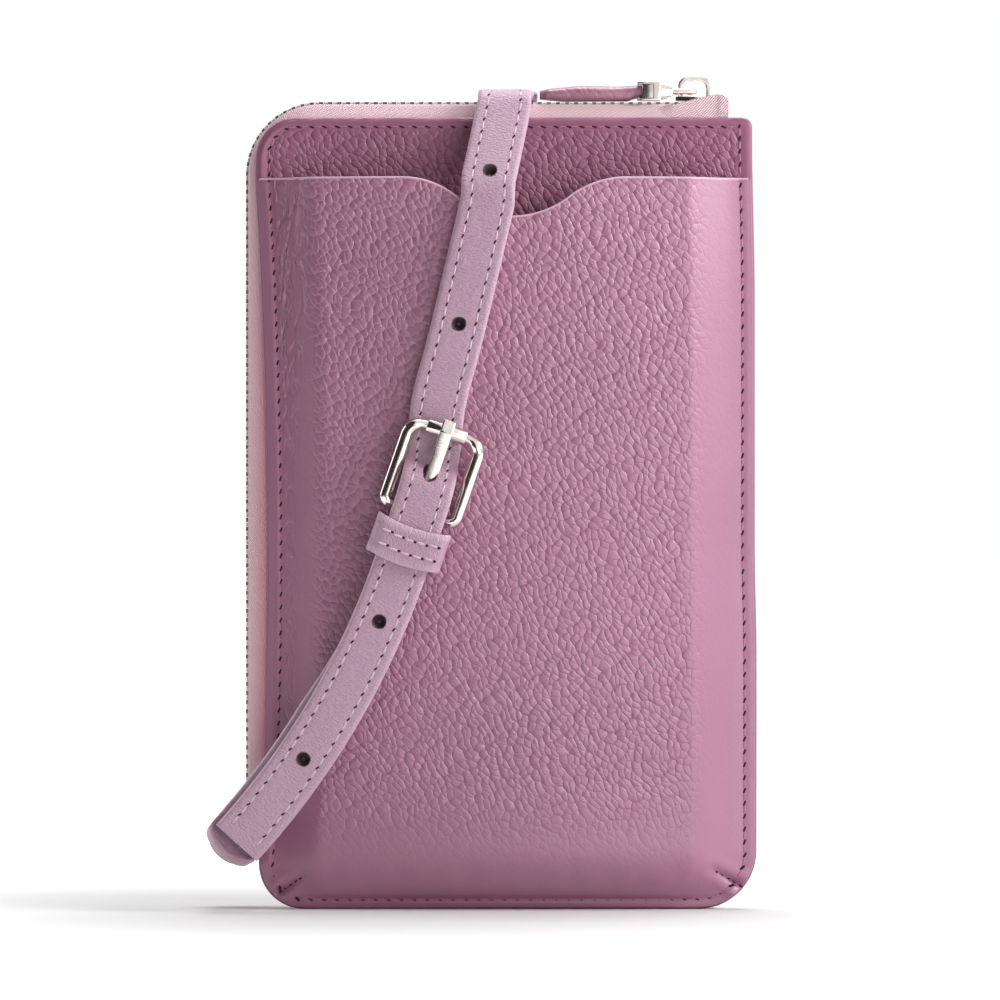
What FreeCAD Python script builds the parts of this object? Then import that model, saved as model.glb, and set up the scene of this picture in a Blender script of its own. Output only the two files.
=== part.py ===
import FreeCAD, Part
import math
import os

Vector = FreeCAD.Vector

# Zipped leather phone pouch with a buckled shoulder strap, in millimetres.
# The pouch stands on its bottom seam, its front faces -Y, and the origin is the middle
# of the front panel's lower edge.

# Pouch body
panel_width = 113.5
panel_height = 181.5
top_left_radius = 13.0
top_right_radius = 2.0
bottom_radius = 11.0
leather = 1.3
lining = 0.5
compartment_depth = 9.0
seam_width = 7.0
wall_run = 6.0
back_wall_run = 5.0

# Phone pocket on the front
pocket_depth = 8.7
pocket_drop = 14.1
pocket_corner = 1.0
notch_width = 53.0
notch_depth = 9.0
notch_centre = 0.0

# Zip along the top and down the left side
tape = 0.6
tape_sewn = 6.0
zip_right_gap = 7.0
zip_low_end = 15.0
chain_height = 3.2
tape_edge = 1.1
tape_shelf = 1.5
tooth_height = 1.6
tooth_leg = 0.8
tooth_overlap = 0.45
tooth_length = 0.95
tooth_pitch = 2.1
stop_length = 2.2
grip_clearance = 0.02

# Slider and its pull
slider_length = 8.8
slider_width = 7.0
slider_nose_width = 5.2
slider_foot_width = 5.2
slider_plate = 1.0
slider_play = 0.25
slider_post_length = 1.8
slider_post_width = 1.4
bridge_length = 7.6
bridge_width = 2.2
bridge_height = 4.7
bridge_wall = 1.1
link_wire = 0.65
link_length = 6.0
link_width = 4.8
link_corner = 1.2
link_lift = 1.2
clip_length = 5.4
clip_width = 8.0
clip_sheet = 0.6
tab_width = 7.6
tab_thickness = 3.2
tab_insert = 3.6
tab_taper = 1.6

# Strap
strap_width = 12.5
strap_thickness = 2.4
strap_skin = 1.2
strap_gap = 0.3
strap_hole = 1.6
strap_hole_pitch = 35.8
strap_hole_first = 26.0
tail_lean = 42.0
tail_straight = 14.0
tail_end_run = 3.3
tail_past_edge = 6.44
tail_end_height = 14.6
upper_lean = 10.5
upper_curve = 60.0
crest_bend = 4.0
crest_slope = 26.0
crest_flat = 8.0
crest_clearance = 0.4
rise_bend = 12.0
hank_fold = 2.2
hank_drop = 12.0
hank_slope = 18.0
hank_slope_bend = 20.0
corner_bend = 5.0
corner_trim = 2.2
back_lean_turn = 14.0
back_curve = 120.0
strap_end_drop = 14.0
settle_bend = 40.0
short_back_run = 52.0
short_back_curve = 160.0
short_end_gap = 14.6

# Buckle and keeper
buckle_place_share = 0.3185
buckle_lean = 19.0
buckle_height = 19.4
rod = 1.5
rod_flats = 8
heel_rod = 1.25
top_rod = 1.1
heel_corner = 1.6
top_corner = 3.5
window_clearance = 0.75
running_clearance = 0.05
roller_radius = 1.8
roller_end_gap = 0.3
prong_width = 2.9
prong_thickness = 1.5
prong_overhang = 2.8
prong_tip_drop = 0.7
prong_rest = 0.15
prong_slot_length = 8.6
under_bend = 5.0
under_slope = 25.0
keeper_length = 9.0
keeper_wall = 1.2
keeper_side_gap = 1.35
keeper_gap = 0.3
keeper_below_heel = 7.7

# Rivets that hold the strap ends to the back
rivet_shank = 1.4
rivet_head = 3.4
rivet_dome = 1.3
rivet_washer = 3.6
rivet_washer_thickness = 0.8
rivet_end_margin = 8.0

overrun = 2.0

# Places that follow from the sizes above
left = -panel_width / 2
right = panel_width / 2
front_inside = leather / 2
front_outside = front_inside - leather
flange_front = front_outside - leather
plateau = front_outside - pocket_depth - leather
back_inside = front_inside + compartment_depth
mid_depth = (front_inside + back_inside) / 2
back_outside = back_inside + leather
pocket_top = panel_height - pocket_drop
corner_x = left + top_left_radius
corner_z = panel_height - top_left_radius
zip_start = right - zip_right_gap
tooth_top = chain_height + tooth_height / 2
tooth_foot = chain_height - tooth_height / 2
slider_x = zip_start - stop_length - 2 * slider_play - slider_length / 2
X_AXIS = Vector(1, 0, 0)
Y_AXIS = Vector(0, 1, 0)
Z_AXIS = Vector(0, 0, 1)


def outline(x_low, x_high, z_low, z_high, radii, depth):
    """Rounded rectangle in the plane y = depth; radii run clockwise from the top left."""
    corners = (
        (x_low, z_high, 1, -1),
        (x_high, z_high, -1, -1),
        (x_high, z_low, -1, 1),
        (x_low, z_low, 1, 1),
    )
    arcs = []
    for (x, z, inward_x, inward_z), radius in zip(corners, radii):
        centre = Vector(x + inward_x * radius, depth, z + inward_z * radius)
        across = X_AXIS * (-inward_x * radius)
        along = Z_AXIS * (-inward_z * radius)
        first, last = (across, along) if inward_x * inward_z < 0 else (along, across)
        middle = (across + along) / math.sqrt(2)
        arcs.append((centre + first, centre + middle, centre + last))
    edges = []
    for arc, following in zip(arcs, arcs[1:] + arcs[:1]):
        edges.append(Part.Arc(*arc).toShape())
        edges.append(Part.makeLine(arc[2], following[0]))
    return Part.Wire(edges)


def plate(x_low, x_high, z_low, z_high, radii, depth, thickness):
    """Flat rounded plate from y = depth backwards."""
    return Part.Face(outline(x_low, x_high, z_low, z_high, radii, depth)).extrude(Y_AXIS * thickness)


def polygon(points):
    """Plane face through the points."""
    return Part.Face(Part.makePolygon(points + points[:1]))


def fused(solids):
    """One solid out of pieces that share faces."""
    return solids[0].multiFuse(solids[1:]).removeSplitter()


def export(name, shape):
    """One file for each piece of the pouch."""
    shape.exportStep(os.path.join("parts", name + ".step"))


# Leather panels and pocket

panel_radii = (top_left_radius, top_right_radius, bottom_radius, bottom_radius)


def front_panel():
    """Flat front of the zipped compartment."""
    return plate(left, right, 0, panel_height, panel_radii, front_outside, leather)


def pocket_swell(inset, front, back, top):
    """Tapered block with sloping left, right and bottom sides."""
    start = seam_width + inset
    end = start + wall_run
    radii = (pocket_corner, pocket_corner, bottom_radius, bottom_radius)
    wide = outline(left + start, right - start, start, top, radii, back)
    narrow = outline(left + end, right - end, end, top, radii, front)
    return Part.makeLoft([wide, narrow], True, True)


def thumb_notch():
    """Wave-shaped dip in the pocket's top edge, three arcs that meet in one line."""
    half = notch_width / 2
    radius = (half ** 2 + notch_depth ** 2) / (4 * notch_depth)
    swing = math.asin(half / 2 / radius) / 2

    def point(x, z):
        return Vector(notch_centre + x, plateau - overrun, pocket_top + z)

    shoulder_x = half - radius * math.sin(swing)
    shoulder_z = radius * math.cos(swing) - radius
    ends = [point(side * half, 0) for side in (-1, 1)]
    bends = [point(side * half / 2, -notch_depth / 2) for side in (-1, 1)]
    shoulders = [point(side * shoulder_x, shoulder_z) for side in (-1, 1)]
    above = [point(side * half, overrun) for side in (-1, 1)]
    edges = [
        Part.Arc(ends[0], shoulders[0], bends[0]).toShape(),
        Part.Arc(bends[0], point(0, -notch_depth), bends[1]).toShape(),
        Part.Arc(bends[1], shoulders[1], ends[1]).toShape(),
        Part.makeLine(ends[1], above[1]),
        Part.makeLine(above[1], above[0]),
        Part.makeLine(above[0], ends[0]),
    ]
    return Part.Face(Part.Wire(edges)).extrude(Y_AXIS * (front_outside - plateau + overrun))


def front_pocket():
    """Swelling pocket with a sewn flange on three sides, open at the top."""
    radii = (pocket_corner, pocket_corner, bottom_radius, bottom_radius)
    flange = plate(left, right, 0, pocket_top, radii, flange_front, leather)
    shell = flange.fuse(pocket_swell(0, plateau, front_outside, pocket_top))
    hollow = pocket_swell(leather, plateau + leather, front_outside, pocket_top + overrun)
    return shell.cut(hollow).cut(thumb_notch()).removeSplitter()


def back_swell(inset, front, back, spill):
    """Block with sloping right and bottom sides, square at the zipped sides."""
    start = seam_width + inset
    end = start + back_wall_run
    wide = outline(left - spill, right - start, start, panel_height + spill, panel_radii, front)
    narrow = outline(left - spill, right - end, end, panel_height + spill, panel_radii, back)
    return Part.makeLoft([wide, narrow], True, True)


def back_panel():
    """Back with a flange that is sewn to the front panel on the right and at the bottom."""
    flange = plate(left, right, 0, panel_height, panel_radii, front_inside, leather)
    shell = flange.fuse(back_swell(0, front_inside, back_outside, 0))
    spill = 2 * top_left_radius
    hollow = back_swell(leather, front_inside, back_inside, spill)
    return shell.cut(hollow).removeSplitter()


def lining_sheet(depth):
    """Cloth sheet glued inside a panel, clear of the zip and the seams."""
    side = tape_sewn + strap_gap
    seam = seam_width + back_wall_run + leather + strap_gap
    radii = (top_left_radius - side / 2, top_right_radius, bottom_radius, bottom_radius)
    return plate(left + side, right - seam, seam, panel_height - side, radii, depth, lining)


# Zip


def zip_band(section):
    """Section of (outward, depth) points carried along the top, the corner and the left side."""
    top = polygon([Vector(zip_start, y, panel_height + u) for u, y in section])
    bend = polygon([Vector(corner_x, y, panel_height + u) for u, y in section])
    side = polygon([Vector(left - u, y, corner_z) for u, y in section])
    return fused([
        top.extrude(X_AXIS * (corner_x - zip_start)),
        bend.revolve(Vector(corner_x, 0, corner_z), -Y_AXIS, 90),
        side.extrude(Z_AXIS * (zip_low_end - corner_z)),
    ])


def tape_section(side):
    """Half of the zip's cloth: sewn leg, slope and the shelf that carries the teeth."""
    inside = compartment_depth / 2
    high = chain_height + tape / 2
    low = chain_height - tape / 2
    shelf = tape_edge + tape_shelf
    points = [
        (-tape_sewn, inside),
        (0, inside),
        (high, shelf + tape / 2),
        (high, tape_edge),
        (low, tape_edge),
        (low, shelf),
        (0, inside - tape),
        (-tape_sewn, inside - tape),
    ]
    return [(u, mid_depth + side * y) for u, y in points]


def zip_tape(side):
    """Cloth tape, its sewn leg trimmed short of the pouch's right wall."""
    wall = right - seam_width - back_wall_run - leather
    trim_corner = Vector(wall, mid_depth - compartment_depth, panel_height - tape_sewn - overrun)
    trim = Part.makeBox(panel_width, 2 * compartment_depth, tape_sewn + overrun, trim_corner)
    return zip_band(tape_section(side)).cut(trim)


def grip_section(side, reach):
    """Metal tooth or stop: two legs over the tape's edge and a head."""
    high = chain_height + tape / 2 + grip_clearance
    low = chain_height - tape / 2 - grip_clearance
    leg = tape_edge + tooth_leg
    root = tape_edge - grip_clearance
    points = [
        (tooth_foot, leg),
        (tooth_foot, reach),
        (tooth_top, reach),
        (tooth_top, leg),
        (high, leg),
        (high, root),
        (low, root),
        (low, leg),
    ]
    return [(u, mid_depth + side * y) for u, y in points]


def chain_place(distance):
    """Placement on the panel's edge at a distance along the chain from the zip's start."""
    top_run = zip_start - corner_x
    radius = top_left_radius + chain_height
    bend = radius * math.pi / 2
    if distance < top_run:
        return FreeCAD.Placement(Vector(zip_start - distance, 0, panel_height), FreeCAD.Rotation())
    angle = min(math.degrees((distance - top_run) / radius), 90)
    spin = FreeCAD.Rotation(Y_AXIS, -angle)
    edge = Vector(corner_x, 0, corner_z) + spin.multVec(Z_AXIS * top_left_radius)
    drop = max(distance - top_run - bend, 0)
    return FreeCAD.Placement(edge - Z_AXIS * drop, spin)


def grip(section, length, distance):
    """A metal piece on the chain, its middle at the given distance."""
    face = polygon([Vector(length / 2, y, u) for u, y in section])
    solid = face.extrude(X_AXIS * -length)
    return solid.transformed(chain_place(distance).toMatrix(), True)


teeth_start = zip_start - slider_x - slider_length / 2 + slider_post_length + 2 * slider_play + tooth_pitch
chain_length = zip_start - corner_x + (top_left_radius + chain_height) * math.pi / 2 + corner_z - zip_low_end
teeth_end = chain_length - stop_length - tooth_pitch
tooth_count = int((teeth_end - teeth_start) / tooth_pitch)


def zip_teeth(side, shift):
    """One row of teeth, which reach across the middle between those of the other row."""
    section = grip_section(side, -tooth_overlap)
    starts = [teeth_start + shift + index * tooth_pitch for index in range(tooth_count)]
    return Part.makeCompound([grip(section, tooth_length, start) for start in starts])


def zip_top_stops():
    """One crimped stop on each tape, past the slider."""
    return Part.makeCompound([
        grip(grip_section(side, slider_play), stop_length, stop_length / 2 + slider_play) for side in (-1, 1)
    ])


def zip_bottom_stop():
    """One crimp over both tapes at the low end of the chain."""
    near = grip_section(-1, 0)
    far = grip_section(1, 0)
    place = chain_length - stop_length / 2 - slider_play
    return fused([grip(near, stop_length, place), grip(far, stop_length, place)])


# Slider and pull

slider_top = panel_height + tooth_top + slider_play + slider_plate
pivot_x = slider_x
pivot_z = slider_top + link_lift


def shield(width, nose_width, base, thickness):
    """Slider plate, wide at the nose and narrower where the closed chain leaves it."""
    nose = slider_length / 2
    points = [
        (-nose, -nose_width / 2),
        (0, -width / 2),
        (nose - slider_plate, -width / 2),
        (nose, -nose_width / 2),
        (nose, nose_width / 2),
        (nose - slider_plate, width / 2),
        (0, width / 2),
        (-nose, nose_width / 2),
    ]
    face = polygon([Vector(slider_x + x, mid_depth + y, base) for x, y in points])
    return face.extrude(Z_AXIS * thickness)


def zip_slider():
    """Cast slider: two plates, the post that parts the rows, and the bridge for the pull."""
    top = shield(slider_width, slider_nose_width, slider_top - slider_plate, slider_plate)
    foot_base = panel_height + tooth_foot - slider_play - slider_plate
    foot_nose = slider_foot_width - slider_plate
    foot = shield(slider_foot_width, foot_nose, foot_base, slider_plate)
    post_height = slider_top - foot_base - slider_plate
    post_corner = Vector(
        slider_x + slider_length / 2 - slider_post_length - slider_play,
        mid_depth - slider_post_width / 2,
        foot_base + slider_plate / 2,
    )
    post = Part.makeBox(slider_post_length, slider_post_width, post_height, post_corner)
    arch = bridge_block(bridge_length, bridge_height, bridge_width)
    opening = bridge_block(bridge_length - 2 * bridge_wall, bridge_height - bridge_wall, slider_width)
    return fused([top, foot, post, arch.cut(opening)])


def bridge_block(length, height, width):
    """Round-topped block over the slider's top plate."""
    radius = height / 2
    half = length / 2
    y = mid_depth - width / 2
    turn = radius / math.sqrt(2)
    low_left = Vector(slider_x - half, y, slider_top)
    low_right = Vector(slider_x + half, y, slider_top)
    knee_left = low_left + Z_AXIS * (height - radius)
    knee_right = low_right + Z_AXIS * (height - radius)
    top_left = Vector(slider_x - half + radius, y, slider_top + height)
    top_right = Vector(slider_x + half - radius, y, slider_top + height)
    mid_left = knee_left + X_AXIS * (radius - turn) + Z_AXIS * turn
    mid_right = knee_right - X_AXIS * (radius - turn) + Z_AXIS * turn
    edges = [
        Part.makeLine(low_right, low_left),
        Part.makeLine(low_left, knee_left),
        Part.Arc(knee_left, mid_left, top_left).toShape(),
        Part.makeLine(top_left, top_right),
        Part.Arc(top_right, mid_right, knee_right).toShape(),
        Part.makeLine(knee_right, low_right),
    ]
    return Part.Face(Part.Wire(edges)).extrude(Y_AXIS * width)


# Strips and rods that are carried along a list of moves


def pivot_of(place, travel, facing, move):
    """Centre and axis of a bend or fold (towards the face) or a turn (towards the side).

    A bend's axis lies across the strip, a fold's axis lies level along X, whatever the strip's lean.
    """
    kind, radius, angle = move
    side = travel.cross(facing)
    sense = math.copysign(1, angle)
    if kind == "turn":
        return place + side * (radius * sense), facing * -sense
    axis = X_AXIS if kind == "fold" else side
    return place + facing * (radius * sense), axis * sense


def after(place, travel, facing, move):
    """Place, travel and facing at the end of a move."""
    kind, size, angle = move
    if kind == "run":
        return place + travel * size, travel, facing
    pivot, axis = pivot_of(place, travel, facing, move)
    spin = FreeCAD.Rotation(axis, abs(angle))
    return pivot + spin.multVec(place - pivot), spin.multVec(travel), spin.multVec(facing)


def end_of(start, moves):
    """Place, travel and facing after all the moves."""
    state = start
    for move in moves:
        state = after(*state, move)
    return state


def strip_section(width, thickness):
    """Maker of a rectangular section."""
    def section(place, travel, facing):
        side = travel.cross(facing) * (width / 2)
        out = facing * (thickness / 2)
        return polygon([place + side + out, place - side + out, place - side - out, place + side - out])
    return section


def rod_section(radius):
    """Maker of a rod's section, with flats that keep its bends light."""
    def section(place, travel, facing):
        turns = [FreeCAD.Rotation(travel, 360 * index / rod_flats) for index in range(rod_flats)]
        return polygon([place + turn.multVec(facing * radius) for turn in turns])
    return section


def carried(start, moves, section):
    """Solid of a section that is carried along the moves."""
    pieces = []
    state = start
    for move in moves:
        face = section(*state)
        if move[0] == "run":
            pieces.append(face.extrude(state[1] * move[1]))
        else:
            pivot, axis = pivot_of(*state, move)
            pieces.append(face.revolve(pivot, axis, abs(move[2])))
        state = after(*state, move)
    return fused(pieces)


def along(start, moves, distance):
    """Place, travel and facing at a distance along the moves."""
    state = start
    for move in moves:
        kind, size, angle = move
        length = size if kind == "run" else size * math.radians(abs(angle))
        if distance <= length:
            share = distance / length
            part_move = (kind, size * share, angle) if kind == "run" else (kind, size, angle * share)
            return after(*state, part_move)
        distance -= length
        state = after(*state, move)
    return state


def moves_length(moves):
    """Length along the middle of the moves."""
    return sum(size if kind == "run" else size * math.radians(abs(angle)) for kind, size, angle in moves)


def pull_link():
    """Closed wire loop through the slider's bridge and the clip."""
    run = link_width - 2 * link_corner
    long_run = link_length - 2 * link_corner
    start = (Vector(pivot_x, mid_depth - run / 2, pivot_z), Y_AXIS, -X_AXIS)
    corner = ("bend", link_corner, 90)
    moves = [("run", run, 0), corner, ("run", long_run, 0), corner]
    return carried(start, moves + moves, rod_section(link_wire))


clip_pin_x = pivot_x - link_length
clip_height = tab_thickness + 2 * clip_sheet


def pull_clip():
    """Folded metal clip: an eye round the link and two jaws over the tab's end."""
    eye_radius = link_wire + running_clearance + clip_sheet
    eye_width = link_width - 2 * link_corner - roller_end_gap
    eye_start = Vector(clip_pin_x, mid_depth - eye_width / 2, pivot_z)
    eye = Part.makeCylinder(eye_radius, eye_width, eye_start, Y_AXIS)
    jaws_end = clip_pin_x - link_wire - link_corner
    jaw_corner = Vector(jaws_end - clip_length, mid_depth - clip_width / 2, pivot_z - clip_height / 2)
    jaws = Part.makeBox(clip_length, clip_width, clip_height, jaw_corner)
    neck_corner = Vector(jaws_end - clip_sheet, mid_depth - eye_width / 2, pivot_z - clip_sheet)
    neck = Part.makeBox(clip_pin_x - jaws_end + clip_sheet, eye_width, 2 * clip_sheet, neck_corner)
    bore_start = Vector(clip_pin_x, mid_depth - clip_width / 2, pivot_z)
    bore = Part.makeCylinder(link_wire + running_clearance, clip_width, bore_start, Y_AXIS)
    slot_end = jaws_end - clip_length - overrun
    slot_corner = Vector(slot_end, mid_depth - clip_width, pivot_z - tab_thickness / 2)
    slot = Part.makeBox(tab_insert + overrun, 2 * clip_width, tab_thickness, slot_corner)
    return fused([eye, jaws, neck]).cut(bore).cut(slot)


# Buckle's place, from the way its strap's tail takes to the pouch's left edge

steep_lean = math.radians(buckle_lean)
low_lean = math.radians(tail_lean)
buckle_x = left + buckle_place_share * panel_width
tail_reach = buckle_x - left + tail_past_edge
curve_reach = tail_reach - tail_straight * math.sin(steep_lean) - tail_end_run * math.sin(low_lean)
tail_curve = curve_reach / (math.cos(steep_lean) - math.cos(low_lean))
curve_drop = tail_curve * (math.sin(low_lean) - math.sin(steep_lean))
runs_drop = tail_straight * math.cos(steep_lean) + tail_end_run * math.cos(low_lean)
buckle_z = tail_end_height + curve_drop + runs_drop

# Heights above the pocket's front, from the layers at the buckle

eye_radius = heel_rod + running_clearance + strap_skin
heel_lift = strap_gap + eye_radius
under_lift = strap_gap + strap_thickness / 2
over_lift = heel_lift + eye_radius + strap_gap + strap_thickness / 2
roller_lift = under_lift + strap_thickness / 2 + strap_gap / 2 + roller_radius
buckle_tilt = math.degrees(math.asin((roller_lift - heel_lift) / buckle_height))
heel = Vector(buckle_x, plateau - heel_lift, buckle_z)
down_lean = FreeCAD.Rotation(Y_AXIS, buckle_lean)
up_travel = down_lean.multVec(Z_AXIS)
OUTWARD = -Y_AXIS

# Long strap: its tail runs down from the buckle, the rest goes under the roller, up
# the front and over the zip, lies in a hank behind the pouch and ends on the back panel.

tail_moves = [
    ("run", tail_straight, 0),
    ("turn", tail_curve, tail_lean - buckle_lean),
    ("run", tail_end_run, 0),
]
over_heel = Vector(buckle_x, plateau - over_lift, buckle_z)
tail_start = (over_heel, -up_travel, OUTWARD)


def rise_moves():
    """Under the roller and up the front to the crest over the zip."""
    slope = math.radians(under_slope)
    round_off = 2 * under_bend * (1 - math.cos(slope))
    dive = (over_lift - under_lift - round_off) / math.sin(slope)
    moves = [
        ("bend", under_bend, -under_slope),
        ("run", dive, 0),
        ("bend", under_bend, under_slope),
        ("turn", upper_curve, upper_lean - buckle_lean),
    ]
    steep = math.radians(crest_slope)
    level = math.cos(math.radians(upper_lean))
    lean_in = mid_depth - crest_flat * level / 2 - plateau + under_lift
    bends_in = crest_bend * math.cos(steep) + rise_bend * (1 - math.cos(steep))
    climb = (lean_in - bends_in) / math.sin(steep)
    bends_height = crest_bend * (1 - math.sin(steep)) + rise_bend * math.sin(steep)
    crest = panel_height + tooth_top + crest_clearance + strap_thickness / 2
    here = end_of((over_heel, up_travel, OUTWARD), moves)[0]
    straight = crest - here.z - climb * math.cos(steep) - bends_height
    return moves + [
        ("run", straight / level, 0),
        ("fold", rise_bend, -crest_slope),
        ("run", climb / level, 0),
        ("fold", crest_bend, crest_slope - 90),
        ("run", crest_flat, 0),
    ]


def hank_moves(start):
    """Down behind the pouch, two folds up and down, and up again to the back panel."""
    last_layer = back_outside + 2 * (strap_gap + strap_thickness) - strap_thickness / 2
    first_layer = last_layer + 3 * 2 * hank_fold
    steep = math.radians(hank_slope)
    level = math.cos(math.radians(upper_lean))
    place = start[0]
    bends_out = crest_bend * math.cos(steep) + hank_slope_bend * (1 - math.cos(steep))
    slide = (first_layer - place.y - bends_out) / math.sin(steep)
    bends_height = crest_bend * (1 - math.sin(steep)) + hank_slope_bend * math.sin(steep)
    turn_height = upper_curve * math.sin(math.radians(upper_lean))
    floor = hank_fold + strap_thickness / 2
    drop = place.z - slide * math.cos(steep) - bends_height - turn_height - floor
    return [
        ("fold", crest_bend, hank_slope - 90),
        ("run", slide / level, 0),
        ("fold", hank_slope_bend, -hank_slope),
        ("turn", upper_curve, -upper_lean),
        ("run", drop, 0),
        ("bend", hank_fold, -180),
        ("run", drop - hank_drop, 0),
        ("bend", hank_fold, 180),
        ("run", drop - hank_drop, 0),
        ("bend", hank_fold, -180),
        ("turn", back_curve, -back_lean_turn),
    ]


front_moves = rise_moves()
rise_start = (over_heel, up_travel, OUTWARD)
crest_end = end_of(rise_start, front_moves)
behind_moves = hank_moves(crest_end)
behind_end = end_of(crest_end, behind_moves)
settle_angle = math.degrees(math.acos(1 - (strap_thickness + strap_gap) / (2 * settle_bend)))
settle_height = 2 * settle_bend * math.sin(math.radians(settle_angle))
strap_end_height = panel_height - strap_end_drop
end_run = 2 * rivet_end_margin
last_run = (strap_end_height - settle_height - behind_end[0].z) / behind_end[1].z - end_run
last_moves = [
    ("run", last_run, 0),
    ("bend", settle_bend, settle_angle),
    ("bend", settle_bend, -settle_angle),
    ("run", end_run, 0),
]
long_moves = front_moves + behind_moves + last_moves

def pull_tab():
    """Leather tab from the clip to the strap's edge, a little narrower at the clip."""
    end = clip_pin_x - link_wire - link_corner - clip_length + tab_insert
    half = tab_width / 2
    lean = math.radians(upper_lean)
    crest_middle = crest_end[0] - crest_end[1] * (crest_flat / 2)
    strap_edge = crest_middle.x + strap_width / 2 / math.cos(lean) + half * math.tan(lean)
    tab_length = end - strap_edge - strap_gap
    points = [
        (end, -half + tab_taper / 2),
        (end - tab_insert, -half + tab_taper / 2),
        (end - tab_length / 2, -half),
        (end - tab_length, -half),
        (end - tab_length, half),
        (end - tab_length / 2, half),
        (end - tab_insert, half - tab_taper / 2),
        (end, half - tab_taper / 2),
    ]
    face = polygon([Vector(x, mid_depth + y, pivot_z - tab_thickness / 2) for x, y in points])
    return face.extrude(Z_AXIS * tab_thickness)


# Short strap: from the heel bar down under the tail, round the pouch's edge and up behind.

short_start = (heel, -up_travel, OUTWARD)
corner_depth = back_outside + strap_gap + strap_thickness / 2 - heel.y - 2 * corner_bend
short_moves = [
    ("run", tail_straight, 0),
    ("turn", tail_curve, tail_lean - buckle_lean),
    ("run", tail_end_run - corner_trim, 0),
    ("bend", corner_bend, -90),
    ("run", corner_depth, 0),
    ("bend", corner_bend, -90),
    ("run", short_back_run, 0),
]


def run_to(state, radius, target):
    """The turn of a given radius after which a straight run ends at the target, and that run."""
    centre, axis = pivot_of(*state, ("turn", radius, 1))
    reach = target - centre
    turn = math.asin(radius / reach.Length) - math.acos(state[1].dot(reach) / reach.Length)
    run = math.sqrt(reach.Length ** 2 - radius ** 2)
    return [("turn", radius, math.degrees(turn)), ("run", run, 0)]


behind_corner = end_of(short_start, short_moves)
short_end = Vector(right - short_end_gap, behind_corner[0].y, strap_end_height)
short_moves += run_to(behind_corner, short_back_curve, short_end)


def rivet_place(start, moves):
    """Middle of the strap where its end is riveted."""
    return along(start, moves, moves_length(moves) - rivet_end_margin)[0]


rivets = [rivet_place(rise_start, long_moves), rivet_place(short_start, short_moves)]


def rivet_holes(shape):
    """Cut the rivets' holes."""
    depth = compartment_depth + strap_thickness
    for place in rivets:
        start = Vector(place.x, place.y - depth, place.z)
        hole = Part.makeCylinder(rivet_shank + running_clearance, depth + strap_thickness, start, Y_AXIS)
        shape = shape.cut(hole)
    return shape


def punched(shape):
    """Cut the round holes of the long strap and the slot that the prong passes."""
    tail_length = moves_length(tail_moves)
    count = int((tail_length + moves_length(front_moves) - crest_flat) / strap_hole_pitch)
    for index in range(count):
        distance = strap_hole_first + index * strap_hole_pitch
        if distance < tail_length:
            place, travel, facing = along(tail_start, tail_moves, tail_length - distance)
        else:
            place, travel, facing = along(rise_start, front_moves, distance - tail_length)
        start = place - facing * strap_thickness
        shape = shape.cut(Part.makeCylinder(strap_hole, 2 * strap_thickness, start, facing))
    return shape


def prong_slot():
    """Hole that the prong has stretched, in the slope between heel and roller."""
    slope_middle = under_bend * math.radians(under_slope) + front_moves[1][1] / 2
    place, travel, facing = along(rise_start, front_moves, slope_middle)
    section = strip_section(prong_width + 2 * strap_gap, 2 * strap_thickness)
    start = place - travel * (prong_slot_length / 2)
    return section(start, travel, facing).extrude(travel * prong_slot_length)


def strap_long():
    """Punched strap from its tail to its riveted end."""
    section = strip_section(strap_width, strap_thickness)
    whole = fused([carried(tail_start, tail_moves, section), carried(rise_start, long_moves, section)])
    return rivet_holes(punched(whole).cut(prong_slot()))


def strap_short():
    """Buckle strap with an eye round the heel bar, slotted for the prong."""
    side = up_travel.cross(OUTWARD)
    eye = Part.makeCylinder(eye_radius, strap_width, heel - side * (strap_width / 2), side)
    bore = Part.makeCylinder(heel_rod + running_clearance, 2 * strap_width, heel - side * strap_width, side)
    slot_width = prong_width + 2 * strap_gap
    section = strip_section(slot_width, 4 * eye_radius)
    slot_start = heel - up_travel * (2 * eye_radius)
    slot = section(slot_start, up_travel, OUTWARD).extrude(up_travel * (4 * eye_radius))
    body = carried(short_start, short_moves, strip_section(strap_width, strap_thickness))
    return rivet_holes(fused([body, eye]).cut(bore).cut(slot))


def strap_keeper():
    """Leather loop round both straps below the buckle."""
    top = over_lift + strap_thickness / 2 + keeper_gap
    low = heel_lift - strap_thickness / 2 - keeper_gap
    middle = Vector(buckle_x, plateau - (top + low) / 2, buckle_z) - up_travel * keeper_below_heel
    start = middle - up_travel * (keeper_length / 2)
    inner_width = strap_width + 2 * keeper_side_gap
    inner = strip_section(inner_width, top - low)
    outer = strip_section(inner_width + 2 * keeper_wall, top - low + 2 * keeper_wall)
    block = outer(start, up_travel, OUTWARD).extrude(up_travel * keeper_length)
    space = inner(start, up_travel, OUTWARD).extrude(up_travel * keeper_length)
    return block.cut(space)


# Roller buckle, drawn upright with its heel bar on the origin, then leaned and tilted

frame_width = strap_width + 2 * window_clearance + 2 * rod
buckle_place = FreeCAD.Placement(heel, down_lean * FreeCAD.Rotation(X_AXIS, buckle_tilt))


def placed(shape):
    """Move a buckle piece to its place on the strap."""
    return shape.transformed(buckle_place.toMatrix(), True)


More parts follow.
